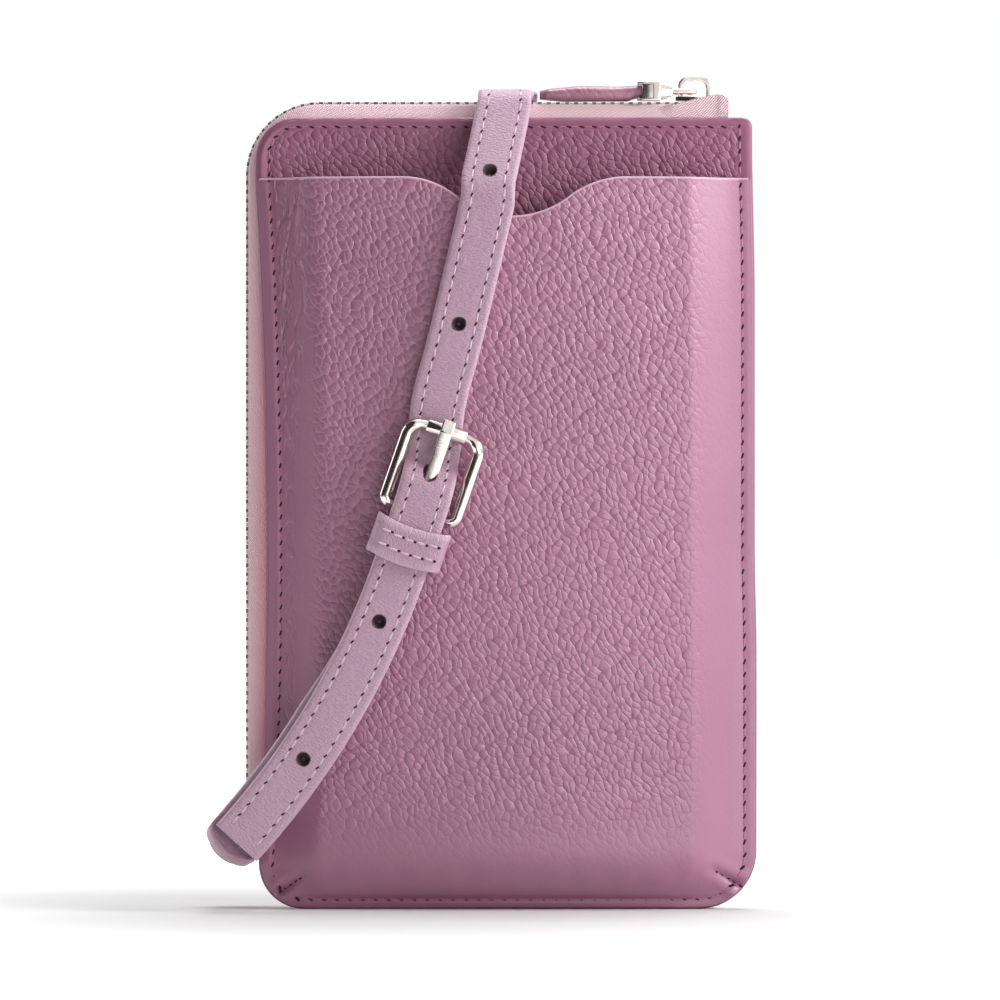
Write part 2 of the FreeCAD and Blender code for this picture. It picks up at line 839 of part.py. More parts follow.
def buckle_frame():
    """Rod frame with a straight heel bar and a thinner bar for the roller."""
    heel_half = frame_width / 2 - heel_corner
    top_half = frame_width / 2 - top_corner
    moves = [
        ("bend", heel_corner, 90),
        ("run", buckle_height - heel_corner - top_corner, 0),
        ("bend", top_corner, 90),
    ]
    right_side = carried((X_AXIS * heel_half, X_AXIS, Z_AXIS), moves, rod_section(rod))
    left_side = right_side.mirror(Vector(), X_AXIS)
    heel_bar = Part.makeCylinder(heel_rod, 2 * heel_half, X_AXIS * -heel_half, X_AXIS)
    top_start = Vector(-top_half, 0, buckle_height)
    top_bar = Part.makeCylinder(top_rod, 2 * top_half, top_start, X_AXIS)
    return placed(fused([right_side, left_side, heel_bar, top_bar]))


def buckle_roller():
    """Loose tube on the frame's top bar."""
    length = frame_width - 2 * top_corner - 2 * roller_end_gap
    start = Vector(-length / 2, 0, buckle_height)
    tube = Part.makeCylinder(roller_radius, length, start, X_AXIS)
    return placed(tube.cut(Part.makeCylinder(top_rod + running_clearance, length, start, X_AXIS)))


def buckle_prong():
    """Tongue that turns on the heel bar, passes the strap and rests on the roller."""
    half = prong_width / 2
    rest = -(roller_radius + prong_rest)
    tip = buckle_height + prong_overhang
    points = [
        (prong_thickness / 2, 0),
        (rest, buckle_height + prong_rest),
        (rest + prong_tip_drop, tip),
        (rest + prong_tip_drop - prong_thickness / 2, tip),
        (rest - prong_thickness, buckle_height + prong_rest),
        (-prong_thickness / 2, 0),
    ]
    blade = polygon([Vector(-half, y, z) for y, z in points]).extrude(X_AXIS * prong_width)
    loop = Part.makeCylinder(eye_radius, prong_width, X_AXIS * -half, X_AXIS)
    bore = Part.makeCylinder(heel_rod + running_clearance, prong_width, X_AXIS * -half, X_AXIS)
    return placed(blade.fuse(loop).cut(bore).removeSplitter())


# Rivets


def strap_rivets():
    """Domed heads with shanks through strap, panel and lining."""
    solids = []
    for place in rivets:
        face = place.y + strap_thickness / 2
        washer_back = back_inside - lining - rivet_washer_thickness
        profile = [
            (0, washer_back),
            (rivet_shank, washer_back),
            (rivet_shank, face),
            (rivet_head, face),
            (rivet_head - rivet_dome, face + rivet_dome),
            (0, face + rivet_dome),
        ]
        half_section = polygon([Vector(place.x + radius, y, place.z) for radius, y in profile])
        solids.append(half_section.revolve(place, Y_AXIS, 360))
    return Part.makeCompound(solids)


def rivet_washers():
    """Washers on the rivets, inside the lining."""
    solids = []
    for place in rivets:
        start = Vector(place.x, back_inside - lining - rivet_washer_thickness, place.z)
        disc = Part.makeCylinder(rivet_washer, rivet_washer_thickness, start, Y_AXIS)
        hole = Part.makeCylinder(rivet_shank + running_clearance, rivet_washer_thickness, start, Y_AXIS)
        solids.append(disc.cut(hole))
    return Part.makeCompound(solids)


os.makedirs("parts", exist_ok=True)
export("front_panel", front_panel())
export("front_pocket", front_pocket())
export("back_panel", rivet_holes(back_panel()))
export("lining_front", lining_sheet(front_inside))
export("lining_back", rivet_holes(lining_sheet(back_inside - lining)))
export("zip_tape_front", zip_tape(-1))
export("zip_tape_back", zip_tape(1))
export("zip_teeth_front", zip_teeth(-1, 0))
export("zip_teeth_back", zip_teeth(1, tooth_pitch / 2))
export("zip_top_stops", zip_top_stops())
export("zip_bottom_stop", zip_bottom_stop())
export("zip_slider", zip_slider())
export("pull_link", pull_link())
export("pull_clip", pull_clip())
export("pull_tab", pull_tab())
export("strap_long", strap_long())
export("strap_short", strap_short())
export("strap_keeper", strap_keeper())
export("buckle_frame", buckle_frame())
export("buckle_roller", buckle_roller())
export("buckle_prong", buckle_prong())
export("strap_rivets", strap_rivets())
export("rivet_washers", rivet_washers())
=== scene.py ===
"""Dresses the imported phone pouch: leather, cloth, thread and polished metal on the CAD frame."""

import math

import bmesh
import bpy
import numpy as np
from mathutils import Matrix, Vector, kdtree


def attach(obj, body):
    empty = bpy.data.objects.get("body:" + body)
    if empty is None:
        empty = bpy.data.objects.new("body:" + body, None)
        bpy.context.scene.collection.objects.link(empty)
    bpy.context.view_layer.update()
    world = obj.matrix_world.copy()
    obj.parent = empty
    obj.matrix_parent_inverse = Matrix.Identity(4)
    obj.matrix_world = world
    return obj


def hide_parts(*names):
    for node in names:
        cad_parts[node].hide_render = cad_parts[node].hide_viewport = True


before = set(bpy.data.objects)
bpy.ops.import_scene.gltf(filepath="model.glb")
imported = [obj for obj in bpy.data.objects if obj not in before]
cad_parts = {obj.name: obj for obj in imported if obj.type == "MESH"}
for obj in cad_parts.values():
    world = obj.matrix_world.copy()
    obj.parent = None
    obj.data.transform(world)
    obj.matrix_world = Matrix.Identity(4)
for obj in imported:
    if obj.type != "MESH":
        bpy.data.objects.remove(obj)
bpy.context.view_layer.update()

# FRONT PANEL
# The flat front of the zipped compartment: a piece of pebbled calf leather whose edge is
# folded over a stiffener and top-stitched. Sizes here are millimetres, meshes are metres.

MM = 0.001
panel_half_width = 56.75
panel_height = 181.5
front_outside = -0.65
front_inside = 0.65
top_left_radius, top_right_radius = 9.6, 2.0
bottom_left_radius, bottom_right_radius = 11.0, 13.3
flat_from, flat_to = 48.0, 54.0


class Shade:
    """A shader socket; sums and products of it add their Math nodes."""

    def __init__(self, tree, socket):
        self.tree = tree
        self.socket = socket

    def node(self, kind, settings=None, output=0, **inputs):
        """Add a node of any type: settings first, then its sockets, by name or by in_0, in_1."""
        made = self.tree.nodes.new("ShaderNode" + kind)
        for key, value in (settings or {}).items():
            setattr(made, key, value)
        for key, value in inputs.items():
            socket = made.inputs[int(key[3:]) if key.startswith("in_") else key.replace("_", " ")]
            if isinstance(value, Shade):
                self.tree.links.new(value.socket, socket)
            elif value is not None:
                socket.default_value = value
        return Shade(self.tree, made.outputs[output])

    def math(self, operation, first, second=None, third=None):
        return self.node("Math", {"operation": operation}, in_0=first, in_1=second, in_2=third)

    def __add__(self, other):
        return self.math("ADD", self, other)

    def __radd__(self, other):
        return self.math("ADD", other, self)

    def __sub__(self, other):
        return self.math("SUBTRACT", self, other)

    def __rsub__(self, other):
        return self.math("SUBTRACT", other, self)

    def __mul__(self, other):
        return self.math("MULTIPLY", self, other)

    def smooth(self, low, high, start=0.0, end=1.0):
        """Smooth step from low to high."""
        settings = {"interpolation_type": "SMOOTHSTEP"}
        return self.node("MapRange", settings, Value=self, From_Min=low, From_Max=high,
                         To_Min=start, To_Max=end)

    def scaled(self, factors):
        """A vector times three factors."""
        return self.node("VectorMath", {"operation": "MULTIPLY"}, in_0=self, in_1=factors)

    def in_mm(self):
        """A place in metres as millimetres."""
        return self.scaled((1 / MM, 1 / MM, 1 / MM))

    def noise(self, scale, detail, output=0, **more):
        """Cloudy noise at a place."""
        return self.node("TexNoise", output=output, Vector=self, Scale=scale, Detail=detail, **more)

    def moved(self, other):
        """A vector plus a vector."""
        return self.node("VectorMath", {"operation": "ADD"}, in_0=self, in_1=other)

    def between(self, low, high):
        """Two colours mixed by this value."""
        return self.node("Mix", {"data_type": "RGBA"}, output=2, in_0=self, in_6=low, in_7=high)


def new_material(name, **sockets):
    """A principled material; returns it, its shader and a wrapped object-coordinate socket."""
    material = bpy.data.materials.new(name)
    material.use_nodes = True
    tree = material.node_tree
    shader = tree.nodes["Principled BSDF"]
    for key, value in sockets.items():
        shader.inputs[key.replace("_", " ")].default_value = value
    place = tree.nodes.new("ShaderNodeTexCoord")
    return material, shader, Shade(tree, place.outputs["Object"])


def feed(shade, shader, name):
    """Link a value to one of the shader's sockets."""
    shade.tree.links.new(shade.socket, shader.inputs[name])


def relief(height, shader, distance):
    """Bump from a height in millimetres."""
    bump = height.node("Bump", Height=height, Distance=distance * MM, Strength=1.0)
    feed(bump, shader, "Normal")


def attribute(shade, name):
    """A value that the mesh carries at its points."""
    return shade.node("Attribute", {"attribute_name": name}, output=2)


def pebbled_leather(name, colour, crease, sheen=0.38):
    """Calf leather with a tumbled grain; the mesh says where it is smooth and where it wrinkles."""
    material, shader, place = new_material(name, IOR=1.8, Specular_IOR_Level=sheen)
    spot = place.in_mm()
    drift = spot.noise(0.11, 2.0, output=1)
    tremble = spot.noise(0.6, 2.0, output=1)
    warped = spot.moved(drift.scaled((4.0, 4.0, 4.0))).moved(tremble.scaled((0.95, 0.95, 0.95)))
    flat = warped.node("Mapping", Vector=warped, Rotation=(math.pi / 2, 0.0, 0.0))
    pebble_width, pebble_length, pebble_lean = 1.4, 2.05, -0.61
    leaning = flat.node("Mapping", {"vector_type": "TEXTURE"}, Vector=flat,
                        Rotation=(0.0, 0.0, pebble_lean), Scale=(pebble_width, pebble_length, 1.0))
    edge, middle = (leaning.node("TexVoronoi", {"voronoi_dimensions": "2D", "feature": feature},
                                 Vector=leaning, Scale=1.0, Randomness=0.82)
                    for feature in ("DISTANCE_TO_EDGE", "F1"))
    pores = spot.noise(2.6, 4.0)
    grain = attribute(place, "grain")
    pebble = edge.smooth(0.0, 0.14) * 0.14 - middle * middle * 1.15
    painted_rim_highlight = 1 - edge.smooth(0.0, 0.08)
    upright = warped.node("Mapping", Vector=warped, Rotation=(0.0, 0.22, 0.0),
                          Scale=(0.62, 0.3, 0.13))
    lines = upright.noise(1.0, 1.5)
    wrinkle = attribute(place, "wrinkle") * lines.math("ABSOLUTE", lines - 0.5).smooth(0.0, 0.10)
    relief(grain * pebble + wrinkle * 0.9 + pores * 0.15, shader, 0.36)
    cloud = spot.noise(0.035, 3.0)
    # Where the grain is strong the pebbles' rims turn lighter: a painted highlight, as if their walls
    # caught the light.
    tone = grain * painted_rim_highlight * 0.5 + cloud * 0.4 + pores * 0.24 + 0.30
    feed(tone.between(crease, colour), shader, "Base Color")
    feed(0.31 + pores * 0.14, shader, "Roughness")
    return material


def in_scene(name, data):
    """An object in the scene for a mesh, a lamp or the camera."""
    thing = bpy.data.objects.new(name, data)
    bpy.context.scene.collection.objects.link(thing)
    return thing


def smooth_piece(name, mesh, material, crease):
    """A smooth-shaded piece, sharp where faces meet at more than the crease's degrees."""
    mesh.polygons.foreach_set("use_smooth", [True] * len(mesh.polygons))
    mesh.set_sharp_from_angle(angle=math.radians(crease))
    mesh.materials.append(material)
    return in_scene(name, mesh)


def new_piece(name, points, faces, material, **values):
    """A mesh piece from points in millimetres, with values at its points."""
    mesh = bpy.data.meshes.new(name)
    places = (np.asarray(points, float) * MM).tolist()
    mesh.from_pydata(places, [], [tuple(int(i) for i in face) for face in faces])
    mesh.validate()
    for key, numbers in values.items():
        layer = mesh.attributes.new(key, "FLOAT", "POINT")
        layer.data.foreach_set("value", np.asarray(numbers, np.float32))
    return smooth_piece(name, mesh, material, 50)


def outward_faces(piece):
    """Turn the faces of a closed mesh outwards."""
    work = bmesh.new()
    work.from_mesh(piece.data)
    bmesh.ops.recalc_face_normals(work, faces=work.faces)
    work.to_mesh(piece.data)
    work.free()


def fit(piece, body, slot, *nodes):
    """Ride on a body and stand for CAD nodes, hiding their parts; the slot is not used."""
    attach(piece, body)
    if nodes:
        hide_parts(*nodes)
    return piece


def side_bow(height):
    """How far the left and right edges draw in at a height: the soft sides slacken half-way up."""
    height = np.asarray(height, float)
    waist, slack = 79.6, 1.25
    above = 2.8 * ((height - waist) / 87.4) ** 2
    below = 1.9 * ((height - waist) / 68.8) ** 2
    left = np.maximum(slack - np.where(height > waist, above, below), -1.5)
    right = 0.2 + 0.45 * ramp(height, 58.0, 85.0) + 0.6 * ramp(height, 140.0, 178.0)
    return left, right


def edge_span(height, insets=(0.0, 0.0, 0.0, 0.0)):
    """Left and right edge of the pouch at heights, drawn in at the left, right, bottom and top."""
    height = np.asarray(height, float)
    in_left, in_right, in_low, in_top = insets
    draw_left, draw_right = side_bow(height)
    from_low = height - in_low
    from_top = panel_height - in_top - height

    def rounding(radius, inset, distance):
        radius = max(radius - inset, 0.8)
        reach = np.clip(radius - distance, 0, radius)
        return radius - np.sqrt(radius ** 2 - reach ** 2)

    low = -panel_half_width + in_left + draw_left
    low = low + rounding(top_left_radius, in_left, from_top)
    low = low + rounding(bottom_left_radius, in_left, from_low)
    high = panel_half_width - in_right - draw_right
    high = high - rounding(top_right_radius, in_right, from_top)
    high = high - rounding(bottom_right_radius, in_right, from_low)
    return low, high


def spread(count, ends=0.7):
    """Numbers from 0 to 1, closer together towards both ends."""
    even = np.linspace(0, 1, count)
    return (1 - ends) * even + ends * (0.5 - 0.5 * np.cos(math.pi * even))


def grid_faces(rows, columns, start=0, flip=False):
    """Quads of a grid of points that is numbered row by row."""
    index = start + np.arange(rows * columns).reshape(rows, columns)
    corners = [index[:-1, :-1], index[:-1, 1:], index[1:, 1:], index[1:, :-1]]
    quads = np.stack(corners, -1).reshape(-1, 4)
    return quads[:, ::-1] if flip else quads


def rim_loop(rows, columns):
    """Point numbers round the rim of a grid."""
    index = np.arange(rows * columns).reshape(rows, columns)
    return np.concatenate([index[0, :], index[1:, -1], index[-1, -2::-1], index[-2:0:-1, 0]])


def sheet_piece(name, front, back, material, rings=(), **values):
    """A closed sheet of leather: front and back grids joined round the rim by rounded rings.

    Each ring is (share from front to back, outward distance)."""
    rows, columns = front.shape[:2]
    count = rows * columns
    loop = rim_loop(rows, columns)
    centre = front.reshape(-1, 3).mean(0)
    front_rim = front.reshape(-1, 3)[loop]
    back_rim = back.reshape(-1, 3)[loop]
    along = np.roll(front_rim, -1, 0) - np.roll(front_rim, 1, 0)
    out = np.stack([along[:, 2], np.zeros(len(loop)), -along[:, 0]], 1)
    out /= np.maximum(np.linalg.norm(out, axis=1, keepdims=True), 1e-9)
    if np.mean(np.sum(out * (front_rim - centre), 1)) < 0:
        out = -out
    points = [front.reshape(-1, 3), back.reshape(-1, 3)]
    faces = [grid_faces(rows, columns), grid_faces(rows, columns, count, True)]
    chain = [loop]
    for number, (share, reach) in enumerate(rings):
        points.append(front_rim * (1 - share) + back_rim * share + out * reach)
        chain.append(2 * count + number * len(loop) + np.arange(len(loop)))
    chain.append(count + loop)
    for first, second in zip(chain, chain[1:]):
        faces.append(np.stack([first, second, np.roll(second, -1), np.roll(first, -1)], 1))
    extra = len(rings) * len(loop)
    filled = {}
    for key, numbers in values.items():
        flat = np.asarray(numbers, float).reshape(-1)
        filled[key] = np.concatenate([flat, flat, np.full(extra, flat[loop].mean())])
    piece = new_piece(name, np.concatenate(points), np.concatenate(faces), material, **filled)
    outward_faces(piece)
    return piece


def ramp(distance, low, high):
    """Smooth step of numbers."""
    share = np.clip((np.asarray(distance, float) - low) / (high - low), 0, 1)
    return share * share * (3 - 2 * share)


def panel_grid(columns, rows):
    """Grid of (x, z) over the whole front of the pouch."""
    heights = panel_height * spread(rows)
    low, high = edge_span(heights)
    x = low[:, None] + (high - low)[:, None] * spread(columns)[None, :]
    return x, np.repeat(heights[:, None], columns, 1)


def side_distances(x, z):
    """Distance of points from the pouch's left, right, bottom and top edges."""
    low, high = edge_span(z)
    return x - low, high - x, z, panel_height - z


def outline(insets=(0.0, 0.0, 0.0, 0.0)):
    """Points once round the pouch: along the top, down the left, along the bottom, up the right."""
    heights = insets[2] + (panel_height - insets[2] - insets[3]) * spread(500, 0.95)
    low, high = edge_span(heights, insets)
    top = [(a, heights[-1]) for a in np.linspace(high[-1], low[-1], 150)]
    down = list(zip(low[::-1], heights[::-1]))
    bottom = [(a, heights[0]) for a in np.linspace(low[0], high[0], 150)]
    up = list(zip(high, heights))
    return np.array(top + down[1:] + bottom[1:] + up[1:-1])


def distance_from(path):
    """A function for the distance of points from a path, both seen from the front."""
    tree = kdtree.KDTree(len(path))
    for number, (a, b) in enumerate(path):
        tree.insert((a, 0, b), number)
    tree.balance()

    def distance(x, z):
        nearest = [tree.find((a, 0, b))[2] for a, b in zip(np.ravel(x), np.ravel(z))]
        return np.array(nearest).reshape(np.shape(x))
    return distance


def bell(distance, width):
    """One at no distance, fading away over a width."""
    return np.exp(-(distance / width) ** 2)


def plumpness(x):
    """How far the edge's roll and the stitched groove stand out; they flatten on the right."""
    return 1 - 0.75 * ramp(x, flat_from, flat_to)


rim_gap = distance_from(outline())
seam_insets = (3.0, 2.6, 2.1, 1.9)
seam = outline(seam_insets)
seam_gap = distance_from(seam)
groove_depth, groove_width = 0.2, 0.7
roll_height = 0.22

# The front panel takes a darker, less glossy copy of the pouch's mauve leather: painted shade, as if
# the panel stood in shadow.
painted_shade_mauve = (0.350, 0.130, 0.215, 1)
painted_shade_mauve_crease = (0.175, 0.055, 0.098, 1)
panel_leather = pebbled_leather("painted_shade_mauve_leather", painted_shade_mauve, painted_shade_mauve_crease, sheen=0.2)

x, z = panel_grid(90, 150)
from_rim = rim_gap(x, z)
edge_roll = 0.45 - 0.33 * ramp(x, flat_from, flat_to)
y = front_outside + edge_roll * (1 - ramp(from_rim, 0.0, 1.0))
panel_roll = roll_height * bell(from_rim - 1.0, groove_width)
panel_groove = groove_depth * bell(seam_gap(x, z), groove_width)
y = y - plumpness(x) * (panel_roll - panel_groove)
front_face = np.stack([x, y, z], -1)
back_face = np.stack([x, np.full_like(x, front_inside), z], -1)
grain = ramp(from_rim, 2.0, 3.6)
front_panel = sheet_piece("front_panel_leather", front_face, back_face, panel_leather,
                          rings=((0.35, 0.28), (0.7, 0.28)), grain=grain)
fit(front_panel, "pouch", "pebbled_leather", "front_panel")

# BACK PANEL AND LININGS
# The back is one piece of the same leather, pressed to a shallow tray whose right and bottom
# walls slope to a sewn flange. Thin cloth linings are glued inside both panels.

mauve = (0.428, 0.180, 0.284, 1)
mauve_crease = (0.215, 0.076, 0.128, 1)
pouch_leather = pebbled_leather("mauve_leather", mauve, mauve_crease)
back_outside = 10.95
flange_back = 1.95
leather_thickness = 1.3


def back_outer(x, z):
    """Depth of the back's outside."""
    from_left, from_right, from_low, from_top = side_distances(x, z)
    wall = np.minimum(ramp(from_right, 5.5, 14.0), ramp(from_low, 5.5, 14.0))
    soft_edge = 0.5 * (1 - ramp(np.minimum(from_left, from_top), 0.0, 3.0))
    return flange_back + (back_outside - flange_back) * wall - soft_edge


x, z = panel_grid(96, 150)
outer = back_outer(x, z) - groove_depth * bell(seam_gap(x, z), groove_width)
inner_face = np.stack([x, np.maximum(outer - leather_thickness, front_inside + 0.01), z], -1)
outer_face = np.stack([x, outer, z], -1)
back_panel = sheet_piece("back_panel_leather", inner_face, outer_face, pouch_leather,
                         rings=((0.3, 0.25), (0.7, 0.25)), grain=ramp(rim_gap(x, z), 2.0, 4.5))
fit(back_panel, "pouch", "pebbled_leather", "back_panel")


def woven_cloth(name, colour, dark, pitch):
    """Plain weave, drawn from two crossing waves."""
    material, shader, place = new_material(name, Roughness=0.85, Specular_IOR_Level=0.25)
    spot = place.in_mm()
    x = spot.node("SeparateXYZ", Vector=spot)
    z = spot.node("SeparateXYZ", output=2, Vector=spot)
    turn = 2 * math.pi / pitch
    warp = x.math("SINE", x * turn)
    weft = z.math("SINE", z * turn)
    weave = warp * weft
    speckle = spot.noise(1.4, 4.0)
    relief(weave * 0.5 + speckle * 0.4, shader, 0.12)
    feed((weave * 0.25 + speckle * 0.6 + 0.1).between(dark, colour), shader, "Base Color")
    return material


lining_cloth = woven_cloth("lining_cloth", (0.36, 0.20, 0.29, 1), (0.22, 0.11, 0.17, 1), 0.8)
lining_low, lining_high = -50.45, 43.15
lining_bottom, lining_top = 13.6, 175.2
for lining_name, near, far in (("lining_front", 0.66, 1.14), ("lining_back", 9.16, 9.64)):
    x, z = np.meshgrid(np.linspace(lining_low, lining_high, 26),
                       np.linspace(lining_bottom, lining_top, 40))
    near_face = np.stack([x, np.full_like(x, near), z], -1)
    far_face = np.stack([x, np.full_like(x, far), z], -1)
    lining = sheet_piece(lining_name + "_cloth", near_face, far_face, lining_cloth,
                         grain=np.zeros_like(x))
    fit(lining, "pouch", "lining_cloth", lining_name)

# PHONE POCKET
# A leather pocket sewn to the front panel on three sides. Darts at its bottom corners give it
# depth, soft folds run down from its upper left corner, and its mouth has a thumb notch and a
# painted raw edge, coloured lighter than the leather: edge paint with a painted highlight.

pocket_top = 167.4
flange_front = -1.95
plateau = -10.65
pocket_bow = 5.0
notch_half = 26.5
notch_depth = 9.0
pocket_inset = 0.3
darts = (((-53.2, 3.4), (-47.6, 7.2)), ((53.9, 4.6), (47.0, 8.8)))
folds = ((((-47.9, 170.0), (-48.9, 161.0), (-50.9, 150.0)), 0.5, 0.55),
         (((-50.4, 170.0), (-51.4, 158.0)), 0.35, 0.45),
         (((-49.4, 154.0), (-51.6, 138.0)), 0.3, 0.5),
         (((-51.0, 146.0), (-52.4, 128.0)), 0.25, 0.45))


def notch_dip(x):
    """How far the pocket's mouth dips at x: three arcs that run into each other."""
    radius = (notch_half ** 2 + notch_depth ** 2) / (4 * notch_depth)
    away = np.abs(np.where(x < 0, x * 1.06, x) - 0.4)
    bottom_away = np.minimum(away, notch_half / 2)
    bottom = notch_depth - radius + np.sqrt(np.maximum(radius ** 2 - bottom_away ** 2, 0))
    shoulder_away = np.clip(notch_half - away, 0, notch_half / 2)
    shoulder = radius - np.sqrt(radius ** 2 - shoulder_away ** 2)
    return np.where(away < notch_half / 2, bottom, np.where(away < notch_half, shoulder, 0))


def waves(count, low, high, seed):
    """Sum of a few sine waves with seeded phases, as a function of numbers."""
    chance = np.random.default_rng(seed)
    rates = chance.uniform(low, high, count)
    phases = chance.uniform(0, 2 * math.pi, count)
    sizes = chance.uniform(0.5, 1.0, count)

    def wave(numbers):
        numbers = np.asarray(numbers, float)[..., None]
        return (sizes * np.sin(numbers * rates + phases)).sum(-1) / sizes.sum()
    return wave


pucker_wave = waves(5, 0.35, 0.9, 5)


def from_line(x, z, start, end):
    """Share of points along a line, also past its ends, and their distance from the line."""
    span = np.subtract(end, start)
    share = ((x - start[0]) * span[0] + (z - start[1]) * span[1]) / (span @ span)
    held = np.clip(share, 0, 1)
    return share, np.hypot(x - start[0] - held * span[0], z - start[1] - held * span[1])


def pocket_front(x, z):
    """Depth of the pocket's outside."""
    from_left, from_right, from_low = side_distances(x, z)[:3]
    left_wall = ramp(from_left, 3.2, 14.0)
    right_slope = np.clip((from_right - 2.9) / 11.6, 0, 1)
    right_wall = 0.55 * right_slope + 0.45 * ramp(right_slope, 0.0, 1.0)
    low_wall = 1 - np.clip(1 - (from_low - 2.2) / 14.0, 0, 1) ** 2.8
    swell = left_wall * right_wall * (0.35 * low_wall + 0.65 * low_wall ** 0.7)
    bow = pocket_bow * np.clip(x / panel_half_width, -0.9, 0.9) ** 2
    y = flange_front + (plateau + bow - flange_front) * swell
    low_band = ramp(from_low, 2.5, 4.5) * (1 - ramp(from_low, 7.0, 13.0))
    y = y + 0.22 * low_band * pucker_wave(x)
    for start, end in darts:
        share, away = from_line(x, z, start, end)
        fade = 1 - 0.55 * np.clip(share, 0, 1)
        y = y + fade * (1.4 * bell(away, 0.5) - 0.6 * bell(away - 2.2, 1.3))
    from_rim = rim_gap(x, z)
    pocket_groove = 0.22 * bell(seam_gap(x, z), groove_width)
    pocket_roll = 0.2 * bell(from_rim - 1.2, groove_width)
    y = y + plumpness(x) * (pocket_groove - pocket_roll)
    edge_roll = 0.95 - 0.8 * ramp(x, -50.0, 52.0)
    y = y + edge_roll * (1 - ramp(from_rim, pocket_inset, pocket_inset + 2.4))
    for crease, depth, width in folds:
        for start, end in zip(crease, crease[1:]):
            share, away = from_line(x, z, start, end)
            y = y + depth * bell(away, width) * (share <= 1)
    return np.minimum(y, front_outside - 0.25)


rows, columns = 210, 150
share = spread(rows, 0.55)
pocket_insets = (pocket_inset, pocket_inset, pocket_inset, 0.0)
nominal = pocket_inset + (pocket_top - pocket_inset) * share
low, high = edge_span(nominal, pocket_insets)
x = low[:, None] + (high - low)[:, None] * spread(columns, 0.6)[None, :]
z = nominal[:, None] - notch_dip(x) * ramp(share, 0.7, 1.0)[:, None]
outside = pocket_front(x, z)
inside = np.minimum(outside + leather_thickness, front_outside - 0.01)
from_left, from_right, from_low = side_distances(x, z)[:3]
faint = 0.06
grain = ramp(from_left, 8.5, 15.0) * (faint + (1 - faint) * ramp(from_right, 9.5, 20.0))
grain = grain * (faint + (1 - faint) * ramp(from_low, 8.0, 34.0))
band_shift = 5.0 * ramp(z, 95.0, 165.0)
wrinkle = ramp(from_left, 3.4, 4.4) * (1 - ramp(from_left - band_shift, 4.6, 8.0))
wrinkle = wrinkle * ramp(from_low, 14.0, 40.0) * (0.35 + 0.65 * ramp(z, 90.0, 150.0))
pocket = sheet_piece("front_pocket_leather", np.stack([x, outside, z], -1),
                     np.stack([x, inside, z], -1), pouch_leather,
                     rings=((0.25, 0.18), (0.75, 0.18)), grain=grain, wrinkle=wrinkle)
fit(pocket, "pouch", "pebbled_leather", "front_pocket")


def ring_faces(rings, sides, closed=False):
    """Quads between rings of points, numbered ring by ring, with end caps on an open body."""
    faces = []
    for ring in range(rings if closed else rings - 1):
        following = (ring + 1) % rings
        for side in range(sides):
            nearby = (side + 1) % sides
            faces.append((ring * sides + side, ring * sides + nearby,
                          following * sides + nearby, following * sides + side))
    if not closed:
        faces.append(tuple(range(sides)))
        faces.append(tuple(range((rings - 1) * sides, rings * sides))[::-1])
    return faces


def tube(path, radius, sides, closed=False):
    """Points and faces of a round tube along a path of points in millimetres."""
    path = np.asarray(path, float)
    ahead = np.roll(path, -1, 0) - np.roll(path, 1, 0) if closed else np.gradient(path, axis=0)
    ahead /= np.linalg.norm(ahead, axis=1, keepdims=True)
    normal = np.cross(ahead[0], [0.31, 0.92, 0.24])
    points = []
    for place, way in zip(path, ahead):
        normal = normal - way * (normal @ way)
        normal = normal / np.linalg.norm(normal)
        side = np.cross(way, normal)
        for turn in np.linspace(0, 2 * math.pi, sides, endpoint=False):
            points.append(place + radius * (math.cos(turn) * normal + math.sin(turn) * side))
    return np.array(points), ring_faces(len(path), sides, closed)


# The mouth's bead is edge paint made lighter than the leather: partly the paint's colour, partly a
# painted highlight on the rounded rim.
edge_paint_and_highlight, edge_shader, edge_place = new_material("edge_paint_and_highlight", Roughness=0.38)
edge_spot = edge_place.in_mm()
edge_noise = edge_spot.noise(0.8, 3.0)
feed(edge_noise.between((0.56, 0.32, 0.43, 1), (0.70, 0.46, 0.57, 1)), edge_shader, "Base Color")
relief(edge_noise, edge_shader, 0.1)

mouth_x = np.linspace(x[-1, 0] + 0.5, x[-1, -1] - 0.5, 160)
mouth_z = pocket_top - notch_dip(mouth_x) + 0.08
mouth_y = pocket_front(mouth_x, mouth_z - 0.3) + 0.3
bead_points, bead_faces = tube(np.stack([mouth_x, mouth_y, mouth_z], 1), 0.34, 8)
mouth_edge = new_piece("front_pocket_edge", bead_points, bead_faces, edge_paint_and_highlight)
fit(mouth_edge, "pouch", "pebbled_leather")

# SEAM STITCHES
# One row of rosy plum thread joins the front panel, pocket and back round the edge: short
# stitches that sink into slanted needle slits.


def thread_stuff(name, colour, dark):
    """Twisted sewing thread."""
    material, shader, place = new_material(name, Roughness=0.6, Specular_IOR_Level=0.35)
    spot = place.in_mm()
    strands = spot.noise(4.5, 2.0)
    feed(strands.smooth(0.3, 0.7).between(dark, colour), shader, "Base Color")
    relief(strands, shader, 0.08)
    return material


def painted_needle_hole_shade():
    """Dark pellets in the needle holes: painted shade for the hollow of each hole."""
    material, shader, place = new_material("painted_needle_hole_shade", Roughness=0.9, Specular_IOR_Level=0.1)
    spot = place.in_mm()
    fibres = spot.noise(3.0, 2.0)
    feed(fibres.between((0.035, 0.008, 0.018, 1), (0.085, 0.022, 0.045, 1)), shader, "Base Color")
    return material


